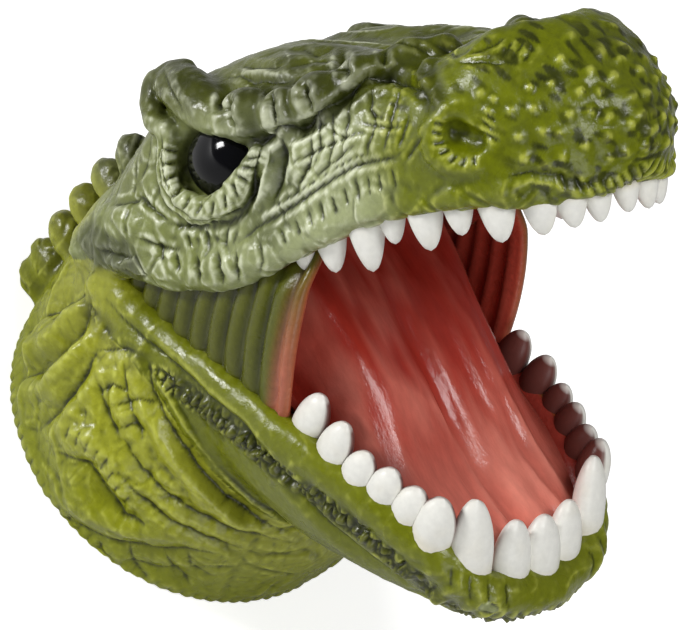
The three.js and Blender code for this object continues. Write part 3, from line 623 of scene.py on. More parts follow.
# Folds drawn on the photograph: width in its pixels, height in millimetres, then lines in its pixels
SKULL_LINES = [
    (5, -1.1, [[(163, 68), (165, 85), (172, 100), (183, 118)]]),
    (5, -2.6, [[(228, 91), (223, 106), (224, 120), (234, 133)]]),
    (4.5, -2.0, [
        [(271, 90), (270, 106), (275, 128)], [(304, 80), (303, 96), (313, 114)],
    ]),
    (4.5, -1.8, [[(343, 50), (342, 66), (347, 78)]]),
    (4, -1.1, [[(384, 47), (385, 67)]]),
    (5, -2.0, [
        [
            (236, 139), (262, 142), (280, 131), (300, 131), (315, 122), (336, 106), (354, 91),
            (371, 78), (392, 76), (407, 81), (422, 94), (433, 108),
        ],
    ]),
    (7, 1.2, [[(275, 138), (268, 160), (266, 185), (262, 206)]]),
    (3, -1.0, [
        [(262, 142), (258, 161), (255, 185), (250, 204)], [(282, 135), (283, 161), (273, 202)],
        [(235, 250), (234, 266), (239, 284)],
    ]),
    (6, 0.8, [[(297, 137), (295, 160), (289, 185)]]),
    (2.6, -0.8, [[(312, 134), (309, 161), (294, 195)]]),
    (2.4, -0.6, [
        [(318, 118), (319, 143), (311, 173)], [(333, 110), (331, 143), (324, 173)],
        [(351, 93), (346, 120), (341, 153)], [(186, 232), (190, 248)], [(205, 230), (208, 247)],
        [(228, 226), (224, 246)], [(560, 172), (566, 190)], [(575, 176), (582, 192)],
        [(590, 180), (597, 196)], [(603, 180), (610, 197)], [(613, 176), (619, 195)],
        [(621, 173), (628, 192)], [(630, 168), (637, 187)], [(639, 163), (646, 181)],
        [(649, 158), (656, 176)], [(659, 150), (665, 166)],
    ]),
    (2.4, -0.55, [
        [(374, 84), (369, 107), (374, 122), (366, 153)], [(402, 82), (392, 112), (382, 153)],
        [(290, 165), (320, 148), (351, 135)], [(305, 183), (331, 163), (356, 143)],
    ]),
    (2.4, -0.5, [
        [(410, 112), (397, 150)], [(422, 135), (404, 163)], [(356, 122), (382, 127), (404, 127)],
        [(290, 143), (310, 132), (336, 120)], [(258, 240), (262, 262), (259, 276)],
        [(152, 134), (147, 160), (138, 180)],
    ]),
    (2.2, -0.5, [
        [(366, 109), (384, 120)],
        [(380, 152), (356, 157), (336, 167), (312, 183), (290, 197), (268, 210)],
        [(279, 228), (285, 246)], [(295, 218), (299, 236)], [(307, 211), (312, 228)],
        [(319, 202), (323, 221)], [(331, 195), (336, 214)], [(343, 188), (347, 206)],
        [(354, 180), (359, 201)],
    ]),
    (2.2, -0.4, [
        [(325, 128), (342, 137), (362, 132)], [(391, 168), (395, 188)],
    ]),
    (3.2, -0.9, [
        [
            (404, 151), (392, 158), (374, 161), (354, 166), (336, 176), (315, 190), (297, 203),
            (276, 216), (255, 228), (238, 242),
        ],
    ]),
    (3, -1.1, [
        [(195, 253), (193, 269), (197, 284)], [(217, 250), (216, 268), (223, 287)],
    ]),
    (3, -0.9, [
        [(174, 252), (176, 273)], [(138, 195), (155, 212), (168, 221)],
        [(168, 224), (200, 229), (228, 225), (248, 212)],
    ]),
    (3, -0.8, [
        [(158, 242), (161, 262)], [(111, 204), (136, 200), (142, 194)],
        [(134, 238), (159, 247), (178, 250)],
    ]),
    (2.2, -0.45, [
        [(365, 175), (370, 197)], [(377, 171), (381, 193)], [(484, 112), (496, 122)],
        [(480, 120), (494, 132)], [(482, 132), (500, 142)],
    ]),
    (4, -1.2, [[(93, 249), (112, 256), (133, 262)]]),
    (2.6, -0.7, [
        [(161, 132), (159, 150), (162, 176), (172, 200)],
        [(147, 123), (140, 140), (128, 165), (110, 190)],
    ]),
    (3, -0.7, [
        [(222, 78), (241, 76), (256, 82)], [(241, 66), (259, 67), (276, 69), (290, 64)],
        [(245, 84), (262, 80), (279, 82), (297, 79)], [(262, 58), (279, 52), (305, 50), (322, 55)],
        [(290, 43), (315, 34), (353, 33), (379, 39)], [(305, 57), (336, 47), (366, 43), (397, 46)],
        [(290, 69), (315, 60), (338, 58)], [(387, 36), (417, 46), (432, 57)],
        [(432, 42), (455, 55), (473, 46)], [(468, 54), (493, 43), (506, 36)],
    ]),
    (3, -0.6, [[(455, 62), (483, 61), (506, 64)]]),
    (3.4, -0.5, [
        [(501, 58), (507, 48), (513, 40)], [(511, 61), (518, 50), (524, 42)],
    ]),
    (3.4, -0.45, [[(522, 63), (530, 52), (536, 44)]]),
    (5, 0.6, [
        [
            (506, 188), (532, 181), (557, 186), (583, 196), (603, 191), (628, 178), (651, 165),
            (669, 148),
        ],
    ]),
    (3, -0.25, [[(500, 178), (530, 172), (557, 175), (583, 184), (603, 180)]]),
    (2.0, -0.5, [
        [(433, 122), (444, 126)], [(431, 132), (443, 134)], [(433, 144), (445, 142)],
        [(439, 155), (450, 149)], [(449, 163), (457, 155)], [(461, 167), (465, 157)],
        [(474, 166), (474, 156)],
    ]),
]
# Bumps on the snout, in the photograph's pixels: across, down, radius
SNOUT_BUMPS = [
    (481, 94, 6), (494, 99, 4), (511, 111, 5), (488, 112, 4), (590, 71, 8), (613, 76, 6), (570, 36, 7),
    (600, 53, 8), (570, 114, 6), (590, 111, 6), (608, 117, 6), (631, 97, 7), (544, 132, 8),
    (558, 134, 6), (585, 145, 6), (606, 137, 6), (626, 153, 7), (646, 148, 6), (641, 115, 7),
    (656, 107, 6), (524, 158, 8), (544, 164, 8), (519, 137, 6), (563, 157, 6), (659, 132, 7),
    (669, 120, 6), (534, 109, 5), (618, 60, 6), (560, 60, 5), (580, 92, 6), (600, 92, 5), (552, 84, 5),
    (530, 88, 4), (648, 130, 6), (630, 125, 6), (610, 158, 6),
]
BUMP_HEIGHT = 0.9
BUMP_REACH = 2.5
JAW_LINES = [
    (4, -1.3, [
        [
            (107, 300), (122, 318), (139, 335), (171, 364), (204, 396), (236, 423), (268, 461),
            (297, 493), (330, 527), (370, 560), (405, 585), (440, 603),
        ],
    ]),
    (3, -0.8, [[(140, 277), (168, 292), (196, 312), (224, 340), (252, 366), (276, 388)]]),
    (4.5, -0.5, [
        [(452, 566), (450, 592)], [(470, 572), (470, 604)], [(488, 576), (490, 612)],
        [(506, 580), (509, 612)],
    ]),
]
THROAT_LINES = [
    (9, 1.6, [[(150, 362), (176, 392), (196, 425), (216, 448), (242, 482), (282, 520)]]),
    (5, -1.3, [
        [(161, 358), (187, 388), (212, 420), (236, 450), (262, 486), (296, 520)],
        [(150, 392), (172, 432), (196, 468), (226, 500), (262, 522), (296, 532)],
    ]),
    (9, 1.4, [[(142, 405), (160, 440), (182, 472), (206, 500), (240, 524), (289, 534)]]),
    (5, -1.2, [[(122, 440), (140, 470), (165, 496), (194, 516), (228, 530), (295, 541)]]),
    (4, -1.0, [[(118, 470), (140, 500), (170, 524), (205, 542), (250, 552)]]),
]
NECK_LINES = [
    (6, -1.6, [[(88, 288), (64, 299), (40, 315), (16, 339)]]),
    (9, 1.5, [
        [(88, 298), (66, 316), (42, 340), (20, 356)], [(90, 334), (72, 358), (46, 384), (24, 398)],
    ]),
    (6, -1.9, [
        [(90, 307), (74, 332), (44, 362), (16, 384)], [(94, 352), (76, 382), (54, 410), (36, 430)],
    ]),
    (11, 1.6, [[(62, 428), (88, 437), (107, 455), (119, 484), (140, 506)]]),
    (6, -1.8, [[(56, 452), (83, 466), (102, 495), (121, 517), (150, 528)]]),
    (12, 1.3, [[(48, 487), (88, 511), (128, 530), (171, 541)]]),
    (5, -1.2, [[(60, 515), (90, 533), (118, 545), (161, 556), (220, 556)]]),
    (5.1, -0.85, [
        [(96, 350), (126, 349), (140, 354)], [(98, 392), (112, 384), (126, 392)],
        [(112, 406), (139, 399), (156, 404)], [(116, 430), (132, 424), (146, 434)],
    ]),
    (5.8, -0.95, [
        [(94, 371), (102, 404), (118, 441)], [(123, 361), (126, 398), (142, 441)],
        [(150, 352), (150, 388), (160, 410)],
    ]),
    (4.4, -0.66, [
        [(72, 424), (66, 440)], [(84, 428), (76, 446)], [(95, 436), (85, 453)], [(104, 445), (92, 462)],
        [(111, 456), (98, 472)], [(117, 469), (103, 483)], [(123, 483), (109, 495)],
        [(131, 495), (118, 507)],
    ]),
    (5.1, -0.76, [
        [(96, 541), (104, 560), (118, 574)], [(126, 548), (132, 566), (150, 582)],
        [(160, 556), (172, 572), (192, 588)],
    ]),
    (5.1, -0.66, [
        [(118, 560), (150, 570), (190, 577)], [(186, 556), (190, 572), (214, 580)],
    ]),
]

FOLD_GAIN = 1.3
CREASE_SHARPNESS = 1.1
# Shares of a fold's length over which it fades at its ends
FADE_START = -0.1
FADE = 0.3
SHOULDER = 0.2
SHOULDER_PLACE = 2.2
RELIEF_LOW = -3.2
RELIEF_HIGH = 3.0
RIM_RIBS = 46


def along_line(points, line):
    """Distance from each point to a line through places, and how far along the line that is, from 0 to 1."""
    line = np.asarray(line, float)
    gap = np.full(len(points), np.inf)
    share = np.zeros(len(points))
    lengths = np.linalg.norm(np.diff(line, axis=0), axis=1)
    starts = np.concatenate([[0], np.cumsum(lengths)])
    for a, b, start, length in zip(line[:-1], line[1:], starts, lengths):
        ab = b - a
        t = np.clip((points - a) @ ab / max(ab @ ab, TINY), 0, 1)
        distance = np.linalg.norm(points - a - t[:, None] * ab, axis=1)
        share = np.where(distance < gap, (start + t * length) / starts[-1], share)
        gap = np.minimum(gap, distance)
    return gap, share


def fold(spots, line, width, depth):
    """Height of one drawn fold at spots of the photograph: a sharp crease or a round swelling."""
    gap, share = along_line(spots, line)
    fade = ramp(share, FADE_START, FADE) * ramp(share, 1 - FADE_START, 1 - FADE)
    if depth < 0:
        profile = np.exp(-CREASE_SHARPNESS * gap / width)
    else:
        profile = np.exp(-((gap / width) ** 2))
    shoulder = np.exp(-((gap / width - SHOULDER_PLACE) ** 2))
    return FOLD_GAIN * depth * fade * (profile - SHOULDER * shoulder)


def drawn(groups, spots, chosen, weight):
    """Height of drawn folds at the chosen points, from where they show in the photograph."""
    height = np.zeros(len(spots))
    for width, depth, lines in groups:
        reach = 4 * width
        for line in lines:
            low = np.min(line, axis=0) - reach
            high = np.max(line, axis=0) + reach
            index = np.flatnonzero(chosen & np.all((spots > low) & (spots < high), axis=1))
            if len(index):
                height[index] += fold(spots[index], line, width, depth)
    return height * weight


# The lid is cut across into ribs that point to the middle of the eye, and grooved round its outside
LID_MIDDLE = (216, 160)
LID_CUTS = [
    (169, 150), (168, 163), (169, 177), (175, 192), (185, 203), (197, 209), (211, 209), (224, 201),
    (234, 191), (242, 180), (249, 169), (254, 158),
]
LID_CUT_HALF = 10
LID_GROOVE = [
    (158, 135), (155, 160), (158, 185), (169, 208), (192, 223), (220, 223), (243, 210), (257, 190),
    (264, 165),
]


def lid_lines():
    middle = np.array(LID_MIDDLE, float)
    cuts = []
    for place in np.array(LID_CUTS, float):
        way = (place - middle) / np.linalg.norm(place - middle)
        cuts.append([place - LID_CUT_HALF * way, place + LID_CUT_HALF * way])
    return [(3, -0.9, [LID_GROOVE]), (2.1, -0.75, cuts)]


class Survey:
    """Where each point of the skin lies: in the frame of each jaw, in the photograph and in which region.

    h stands for the skull's frame and j for the lower jaw's. Regions run from 0 to 1 or are true and false.
    """

    def __init__(self, points, normals):
        mirror = np.where(points[:, 1:2] > 0, np.array([[1.0, -1.0, 1.0]]), 1.0)
        self.points = points
        self.near = points * mirror
        self.spots = project(self.near)
        way = CAMERA_PLACE - self.near
        facing = np.sum(normals * mirror * way, axis=1) / np.linalg.norm(way, axis=1)
        self.seen = ramp(facing, 0.0, 0.3)
        self.normals = normals
        x, y, z = points.T
        self.side = np.abs(y)
        self.hx, self.hz = to_local(x, z, HEAD_PITCH)
        self.jx, self.jz = to_local(x, z, JAW_PITCH)
        self.in_head = np.stack([self.hx, y, self.hz], axis=1)
        self.in_jaw = np.stack([self.jx, y, self.jz], axis=1)
        _, _, self.top, lip_half, lip, _ = skull_section(np.clip(self.hx, HEAD_BACK, HEAD_LENGTH))
        jaw_half, jaw_lip, _ = jaw_section(np.clip(self.jx, 0, JAW_LENGTH))
        self.lip_height = self.hz - lip
        self.lip_depth = jaw_lip - self.jz
        ahead = x > HINGE_X
        above = np.arctan2(z - HINGE_Z, x - HINGE_X) > BISECTOR
        jaw_gap = np.abs(jaw_field(x, y, z))
        skull_gap = np.abs(skull_field(x, y, z))
        tube = neck_tube(x, y, z)
        self.hollow = (tube < -1.5) & (z < FOLD_TOP + 1)
        self.jaw = ahead & ~above & (jaw_gap < 4)
        self.neck = ~self.jaw & (np.abs(tube) < 4) & (z < 66) & ((skull_gap > 2.5) | (z < HINGE_Z))
        self.skull = ~self.jaw & ~self.neck
        roof = ramp(self.side, lip_half - 2.5, lip_half - 4.5) * ramp(self.lip_height, 10, 8)
        roof *= ramp(self.hx, 123, 120)
        bed = ramp(self.side, jaw_half - 3.5, jaw_half - 6) * ramp(self.lip_depth, 10, 8)
        bed *= ramp(self.jx, 114, 111)
        self.mouth = np.where(ahead & above, roof, np.where(ahead, bed * (self.jx > 4), 0))
        self.open = np.where(self.hollow, 0, 1 - self.mouth)
        self.flesh = ramp(jaw_gap, 1.5, 4) * ramp(skull_gap, 1.5, 6) * ramp(z, 68, 60) * self.open
        self.ridge = self.gap_to(ridge_path())
        self.brow = self.gap_to(beside(np.array(BROW_LOBES)[:, :2], 0.5))
        self.knob = self.gap_to(on_head(KNOB_PLACES[:3]))
        self.scute = np.min([np.linalg.norm(self.near - np.array(p), axis=1) for p in SCUTES], axis=0)

    def gap_to(self, line):
        """Distance from each point, as mirrored to the right side, to a line."""
        return along_line(self.near, line)[0]


def plates(share, depth, points, size, seed):
    """Plates parted by creases of the given depth."""
    bent = points + 0.3 * size * np.stack([noise(points, 1.4 * size, seed + k) for k in range(3)], axis=1)
    first, second, name = cells(bent, size, seed)
    return share * depth * (ramp(second - first, 0.02, 0.3) * (0.75 + 0.25 * name) - 1)


def wrinkles(share, depth, points, size, seed, level=0.6):
    """Sharp crests about as far apart as the given size."""
    return share * depth * (ridged(points, size, seed) - level)


def fold_heights(skin):
    """How far the skin stands out or in at each point: drawn folds first, then plates and wrinkles.

    Limits of ramps are millimetres in the frame of what they measure, and depths are millimetres too.
    """
    outer = skin.open > 0.5
    height = drawn(SKULL_LINES + lid_lines(), skin.spots, skin.skull & outer, skin.seen)
    height += drawn(JAW_LINES, skin.spots, skin.jaw & outer, skin.seen)
    fleshy = skin.seen * ramp(skin.flesh, 0, 0.5)
    height += drawn(THROAT_LINES + NECK_LINES, skin.spots, ~skin.skull & outer, fleshy)
    for across, down, radius in SNOUT_BUMPS:
        gap = np.hypot(skin.spots[:, 0] - across, skin.spots[:, 1] - down) / radius
        bump = BUMP_HEIGHT * np.exp(-gap * gap) * skin.seen
        height += np.where(skin.skull & outer & (gap < BUMP_REACH), bump, 0)

    x, y, z = skin.points.T
    bare = skin.flesh * (ramp(z, 3, 8) * ramp(skin.scute, 7.6, 10))
    height += plates(bare, depth=0.6, points=skin.points, size=12.0, seed=11)
    height += plates(bare, depth=0.15, points=skin.points, size=4.6, seed=17)
    slope = np.stack([x + z, 0.6 * y, 0.35 * z], axis=1)
    height += wrinkles(bare, depth=2.4, points=slope, size=21.0, seed=23)

    skull = skin.skull * skin.open
    head = skin.in_head
    plain = skull * ramp(skin.brow, 6.5, 9.5) * ramp(skin.knob, 6.5, 10)
    crown = plain * ramp(skin.hz, 0.55 * skin.top, 0.85 * skin.top) * ramp(z, 60, 76)
    back = crown * ramp(skin.hx, 100, 84)
    height += wrinkles(back, depth=2.2, points=head * (0.28, 1, 0.5), size=6.5, seed=31, level=0.65)
    snout = skull * ramp(skin.hx, 86, 100) * ramp(skin.lip_height, 4, 9)
    first, _, size = cells(head, 5.6, seed=37)
    height += snout * (0.35 + 0.5 * size) * np.maximum(0.6 - first, -0.1)
    cheek = plain * (1 - crown) * (1 - snout)
    height += plates(cheek, depth=0.4, points=head * (1, 0.8, 0.8), size=7.0, seed=41)
    height += wrinkles(cheek, depth=0.55, points=head * (1.0, 0.5, 0.4), size=8.0, seed=43)

    lower = skin.jaw * skin.open
    jaw = skin.in_jaw
    under = lower * ramp(skin.lip_depth, 10, 14)
    height += wrinkles(under, depth=0.8, points=jaw * (0.25, 1, 1), size=8.0, seed=47)
    chin = lower * ramp(skin.jx, 98, 110) * ramp(skin.lip_depth, 2, 5)
    height += chin * 0.35 * np.sin(2 * math.pi * (skin.side + noise(jaw, 5.0, seed=103)) / 3.4)
    flank = lower * (1 - under)
    height += wrinkles(flank, depth=0.7, points=jaw * (0.8, 0.6, 0.5), size=5.0, seed=53)
    first, second, _ = cells(jaw * (1.3, 0.7, 0.7), 2.6, seed=101)
    height += lower * ramp(skin.ridge, 3.8, 1.8) * 1.3 * (ramp(second - first, 0, 0.5) - 0.5)
    height += skin.open * 0.12 * noise(skin.points, 1.7, seed=59)
    rim = skin.open * ramp(z, 4.4, 2.6)
    height += rim * 0.35 * (np.abs(np.sin(RIM_RIBS * np.arctan2(y, x))) - 0.5)
    return np.clip(height, RELIEF_LOW, RELIEF_HIGH) * skin.open


def shade(red, green, blue):
    """A colour as seen on a screen, in linear values."""
    c = np.array([red, green, blue]) / 255
    return np.where(c <= 0.04045, c / 12.92, ((c + 0.055) / 1.055) ** 2.4)


def mix(base, other, share):
    """One colour, or a colour for each point, with a share of another colour at each point."""
    share = np.clip(share, 0, 1)[:, None]
    return base * (1 - share) + other * share


NECK_GREEN = shade(146, 149, 40)
LOW_GREEN = shade(122, 128, 2)
SAGE = shade(120, 128, 70)
FACE_GREEN = shade(150, 157, 112)
NAPE_GREEN = shade(106, 112, 60)
CROWN_GREEN = shade(88, 94, 28)
SNOUT_GREEN = shade(100, 108, 4)
JAW_GREEN = shade(96, 103, 4)
OLIVE_SHADE = shade(60, 68, 8)
DARK_WASH_AND_SHADE = shade(24, 28, 6)
DRY_BRUSH_AND_HIGHLIGHT = shade(228, 232, 204)
LIME_BRUSH_AND_HIGHLIGHT = shade(186, 190, 84)
GUM_RED = shade(140, 50, 40)
DEEP_RED_AND_SHADE = shade(88, 22, 16)
# Painted shade in the hollow between the eye and the cheek, and painted shade under the cheek pad over the
# mouth corner, in the skull's frame
TEMPLE_SHADE = [(60, 22), (63, 15), (59, 8)]
PAD_SHADE = [(-4, -41, 6), (6, -42, 3), (14, -42, 0)]


def paint(skin, hollows):
    """Sprayed colours, dark wash and painted shade in the hollows, and pale dry brush and painted highlights
    on the crests, at each point.

    Limits of ramps are millimetres in the frame of what they measure, and factors are shares of a paint.
    """
    fine, broad, deep = hollows
    x, y, z = skin.points.T
    hx, hz, top = skin.hx, skin.hz, skin.top
    patch = layered(skin.points, 11.0, seed=61)
    speck = layered(skin.points, 3.4, seed=67)
    color = mix(NECK_GREEN, LOW_GREEN, ramp(z + 6 * patch, 40, 2))
    color = mix(color, JAW_GREEN, 0.9 * (skin.jaw * ramp(skin.jx, 0, 20)))
    risen = ramp(z + 6 * patch, 42, 70)
    head = np.where(skin.skull, 1.0, skin.neck * risen)
    head = head + (risen - head) * ramp(x, -34, -42) * ~skin.jaw
    color = mix(color, FACE_GREEN, head)
    color = mix(color, SAGE, head * ramp(hx + 8 * patch, 66, 30) * ramp(hz, 36, 24))
    color = mix(color, NAPE_GREEN, head * ramp(hx + 5 * patch, 30, 14) * ramp(hz, 8, 20))
    color = mix(color, CROWN_GREEN, head * ramp(hz, 0.6 * top, 0.86 * top))
    color = mix(color, SNOUT_GREEN, head * ramp(hx + 6 * patch, 80, 98))
    # Painted shade in the hollow between the eye and the cheek
    temple_shade = skin.gap_to(beside(TEMPLE_SHADE, 0.0))
    color = mix(color, OLIVE_SHADE, 0.6 * ramp(temple_shade + 3 * speck, 10, 4))
    # Painted shade: broad and deep hollows of the sculpt go toward olive
    color = mix(color, OLIVE_SHADE, 0.9 * np.maximum(ramp(broad, -0.1, 0.5), ramp(deep, 0.1, 1.4)))

    upward = ramp(skin.normals[:, 2], -0.3, 0.6)
    beads = skin.gap_to(beside(np.array(BROW_BEADS)[:, :2], BEADS_SUNK))
    pad = skin.gap_to(on_head(PAD_SHADE))
    snout = head * ramp(hx, 90, 104) * ramp(hz + 6 * patch, 14, 30)
    strokes = ramp(noise(np.stack([0.5 * hx + hz, y * 0.9, 0.35 * hx], axis=1), 1.5, seed=97), 0.12, 0.4)
    dusted = head * ramp(hx, 84, 98) * np.maximum(ramp(hz, 0.5 * top, 0.8 * top), ramp(hx, 112, 128))
    crown = head * ramp(hz, 0.65 * top, 0.9 * top) * ramp(hx, 100, 85)
    # Dark paint on the brow, knob, scutes, beads, ridge, snout and crown, with painted shade under the cheek
    # pad and in the hollows
    dark = np.max([
        0.72 * ramp(skin.brow, 9.5, 6.2) * (0.6 + 0.4 * upward),
        0.7 * ramp(skin.knob, 10, 6) * (0.25 + 0.75 * upward),
        0.65 * ramp(skin.scute, 9, 6) * upward,
        0.8 * ramp(beads, 4.5, 2),
        0.9 * ramp(skin.ridge + 2.5 * speck, 5.4, 1.6) * (1 - skin.mouth),
        # painted shade under the cheek pad at the mouth corner
        0.8 * ramp(pad + 3 * speck, 8, 3),
        0.4 * snout * ramp(patch + 0.5 * speck, 0.0, 0.4),
        0.9 * dusted * strokes * ramp(patch, -0.9, -0.1),
        0.55 * crown * ramp(patch + 0.4 * speck, -0.3, 0.4),
        # painted shade in the fine and broad hollows of the sculpt
        0.9 * ramp(fine, 0.0, 0.14),
        0.65 * ramp(broad, 0.3, 1.2),
    ], axis=0)
    color = mix(color, DARK_WASH_AND_SHADE, dark * (0.85 + 0.3 * speck))

    # Pale dry brush with painted highlights on the crests of the sculpt, less where the paint is dark
    crest = np.maximum(0.85 * ramp(-fine, 0.012, 0.1), 0.5 * ramp(-broad, 0.05, 0.4))
    crest = crest * (0.7 + 0.4 * speck) * (1 - 0.7 * ramp(dark, 0.3, 0.8))
    face = head * ramp(hx, 98, 82)
    color = mix(color, LIME_BRUSH_AND_HIGHLIGHT, crest * (1 - face))
    color = mix(color, DRY_BRUSH_AND_HIGHLIGHT, crest * face)
    color = mix(color, GUM_RED, skin.mouth)
    color = mix(color, DEEP_RED_AND_SHADE, skin.mouth * ramp(skin.lip_height, 2, 6))
    return mix(color, LOW_GREEN * 0.5, np.where(skin.hollow, 1.0, 0.0))


SCULPT_ROUNDS = 2
# Rounds of smoothing against which fine, broad and deep hollows are measured
HOLLOW_ROUNDS = (3, 14, 45)
points, quads = sculpt()
points = relax(points, quads, SCULPT_ROUNDS)
points, quads = subdivided(points, quads)
survey = Survey(points, vertex_normals(points, quads))
points = points + fold_heights(survey)[:, None] * survey.normals
points[:, 2] = np.maximum(points[:, 2], 0)
normals = vertex_normals(points, quads)


def hollowness(rounds):
    """How deep each point lies under the mean of its surroundings."""
    return np.sum((relax(points, quads, rounds) - points) * normals, axis=1)


colors = paint(survey, [hollowness(rounds) for rounds in HOLLOW_ROUNDS])

# Materials
SPECULAR = 0.36
NOISE_LOW = 0.3
NOISE_HIGH = 0.7
SPRAY_SCALE = 700
GLOSS_SCALE = 160
GRAIN_SCALE = 1100
GRAIN_DEPTH = 0.0004


def start_material(name, roughness):
    material = bpy.data.materials.new(name)
    material.use_nodes = True
    tree = material.node_tree
    shader = tree.nodes["Principled BSDF"]
    shader.inputs["Roughness"].default_value = roughness
    shader.inputs["Specular IOR Level"].default_value = SPECULAR
    return material, tree, shader


def node(tree, kind, **settings):
    made = tree.nodes.new(kind)
    for name, value in settings.items():
        setattr(made, name, value)
    return made


def noise_node(tree, scale, detail, stretch=(1, 1, 1)):
    """Noise in the piece's own coordinates."""
    place = node(tree, "ShaderNodeTexCoord")
    mapping = node(tree, "ShaderNodeMapping")
    mapping.inputs["Scale"].default_value = stretch
    texture = node(tree, "ShaderNodeTexNoise")
    texture.inputs["Scale"].default_value = scale
    texture.inputs["Detail"].default_value = detail
    tree.links.new(place.outputs["Object"], mapping.inputs["Vector"])
    tree.links.new(mapping.outputs["Vector"], texture.inputs["Vector"])
    return texture.outputs["Fac"]


def spread(tree, value, low, high):
    """Takes a noise value from its usual span to the given one."""
    made = node(tree, "ShaderNodeMapRange")
    made.inputs["From Min"].default_value = NOISE_LOW
    made.inputs["From Max"].default_value = NOISE_HIGH
    made.inputs["To Min"].default_value = low
    made.inputs["To Max"].default_value = high
    tree.links.new(value, made.inputs["Value"])
    return made.outputs["Result"]


def painted(name, low, high, speckle, grain, stretch=(1, 1, 1)):
    """Vinyl in the colours held by the mesh, with speckled spray, uneven gloss and a fine grain."""
    material, tree, shader = start_material(name, low)
    held = node(tree, "ShaderNodeAttribute", attribute_name="paint")
    light = node(tree, "ShaderNodeMix", data_type="RGBA", blend_type="MULTIPLY")
    light.inputs["Factor"].default_value = 1.0
    tree.links.new(held.outputs["Color"], light.inputs["A"])
    tint = spread(tree, noise_node(tree, SPRAY_SCALE, 3, stretch), 1 - speckle, 1 + speckle)
    tree.links.new(tint, light.inputs["B"])
    tree.links.new(light.outputs["Result"], shader.inputs["Base Color"])
    gloss = spread(tree, noise_node(tree, GLOSS_SCALE, 2, stretch), low, high)
    tree.links.new(gloss, shader.inputs["Roughness"])
    bump = node(tree, "ShaderNodeBump")
    bump.inputs["Strength"].default_value = grain
    bump.inputs["Distance"].default_value = GRAIN_DEPTH
    tree.links.new(noise_node(tree, GRAIN_SCALE, 4, stretch), bump.inputs["Height"])
    tree.links.new(bump.outputs["Normal"], shader.inputs["Normal"])
    return material


def with_paint(mesh, values):
    """Puts a colour on each point of a mesh."""
    held = mesh.attributes.new("paint", "FLOAT_COLOR", "POINT")
    rgba = np.ones((len(values), 4), np.float32)
    rgba[:, :3] = values
    held.data.foreach_set("color", rgba.ravel())


skin_vinyl = painted("skin_vinyl", 0.22, 0.36, speckle=0.1, grain=0.3)
mouth_vinyl = painted("mouth_vinyl", 0.13, 0.27, speckle=0.08, grain=0.3, stretch=(0.35, 1, 0.5))

# Pieces of the skin
centres = points[quads].mean(axis=1)
angle = np.arctan2(centres[:, 2] - HINGE_Z, centres[:, 0] - HINGE_X)
low_part = centres[:, 2] < SPLIT_LOW
jaw_side = ~low_part & (centres[:, 0] > HINGE_X) & (angle < BISECTOR)
throat_part = jaw_side & (centres[:, 2] < SPLIT_HIGH)


def skin_piece(name, chosen, sunk):
    """A piece of the skin from the chosen quads, with the whole skin's normals so that no seam shows."""
    used, corners = np.unique(quads[chosen], return_inverse=True)
    places = points[used] - sunk[used, None] * normals[used]
    mesh = new_mesh(name, places * MM, corners.reshape(-1, 4))
    mesh.shade_smooth()
    mesh.normals_split_custom_set_from_vertices(normals[used].tolist())
    with_paint(mesh, colors[used])
    mesh.materials.append(skin_vinyl)
    piece = add_object(name, mesh)
    return piece


# The head's skin runs on a little under the throat, so that no slit opens beside the hinge
TUCK_REACH = 6.0
TUCK_DEPTH = 0.9
tuck = throat_part & (centres[:, 0] < HINGE_X + TUCK_REACH)
flush = np.zeros(len(points))
tucked = TUCK_DEPTH * ramp(points[:, 0], HINGE_X + 0.5, HINGE_X + 0.5 * TUCK_REACH)
tucked *= points[:, 2] < SPLIT_HIGH
neck_skin = skin_piece("neck_skin", low_part, flush)
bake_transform(neck_skin)
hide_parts("neck_sleeve", "neck_fold")
head_skin = skin_piece("head_skin", ~low_part & ~jaw_side | tuck, tucked)
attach(head_skin, "head")
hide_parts("skull_skin")
throat_skin = skin_piece("throat_skin", throat_part, flush)
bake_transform(throat_skin)
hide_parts("throat_fold")
chin_skin = skin_piece("chin_skin", jaw_side & ~throat_part, flush)
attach(chin_skin, "jaw")
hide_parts("jaw_skin")


def grid_quads(rows, columns, closed=False):
    """Quads over a grid of points, joined round the columns where it is closed."""
    across = columns if closed else columns - 1
    i, j = np.meshgrid(np.arange(rows - 1), np.arange(across), indexing="ij")
    k = (j + 1) % columns
    corners = [i * columns + j, i * columns + k, (i + 1) * columns + k, (i + 1) * columns + j]
    return np.stack(corners, axis=-1).reshape(-1, 4)


def surface_piece(name, places, faces, values, material):
    """A smooth piece with a colour at each point."""
    mesh = new_mesh(name, places * MM, faces)
    mesh.shade_smooth()
    with_paint(mesh, values)
    mesh.materials.append(material)
    piece = add_object(name, mesh)
    return piece


def down_rows(places, columns):
    """The places, one for each row of a grid."""
    return np.repeat(places[:, None], columns, axis=1)


def mouth_piece(name, shape, start, end, rows, columns, flipped=False):
    """A piece of the mouth's lining over a grid, from one place along a jaw to another."""
    places, tone = shape(down_rows(np.linspace(start, end, rows), columns))
    faces = grid_quads(rows, columns)
    return surface_piece(name, places, faces[:, ::-1] if flipped else faces, tone, mouth_vinyl)


def between_lips(half, columns):
    """How near each column of a grid is to a lip, from 0 to 1, and its place across, closer near the lips."""
    share = np.linspace(-1, 1, columns)[None, :]
    near = np.abs(share)
    inner = np.maximum(half - LIP_THICKNESS + GUM_OVERLAP, 1)
    return near, inner * np.sign(share) * (1 - (1 - near) ** 2)


MOUTH_RED = shade(160, 48, 36)
PALE_RED_HIGHLIGHT = shade(222, 134, 116)
WEB_GREEN = shade(98, 102, 12)
WEB_EDGE = shade(178, 96, 78)
WEB_RED = shade(186, 72, 56)
GUM_OVERLAP = 0.8
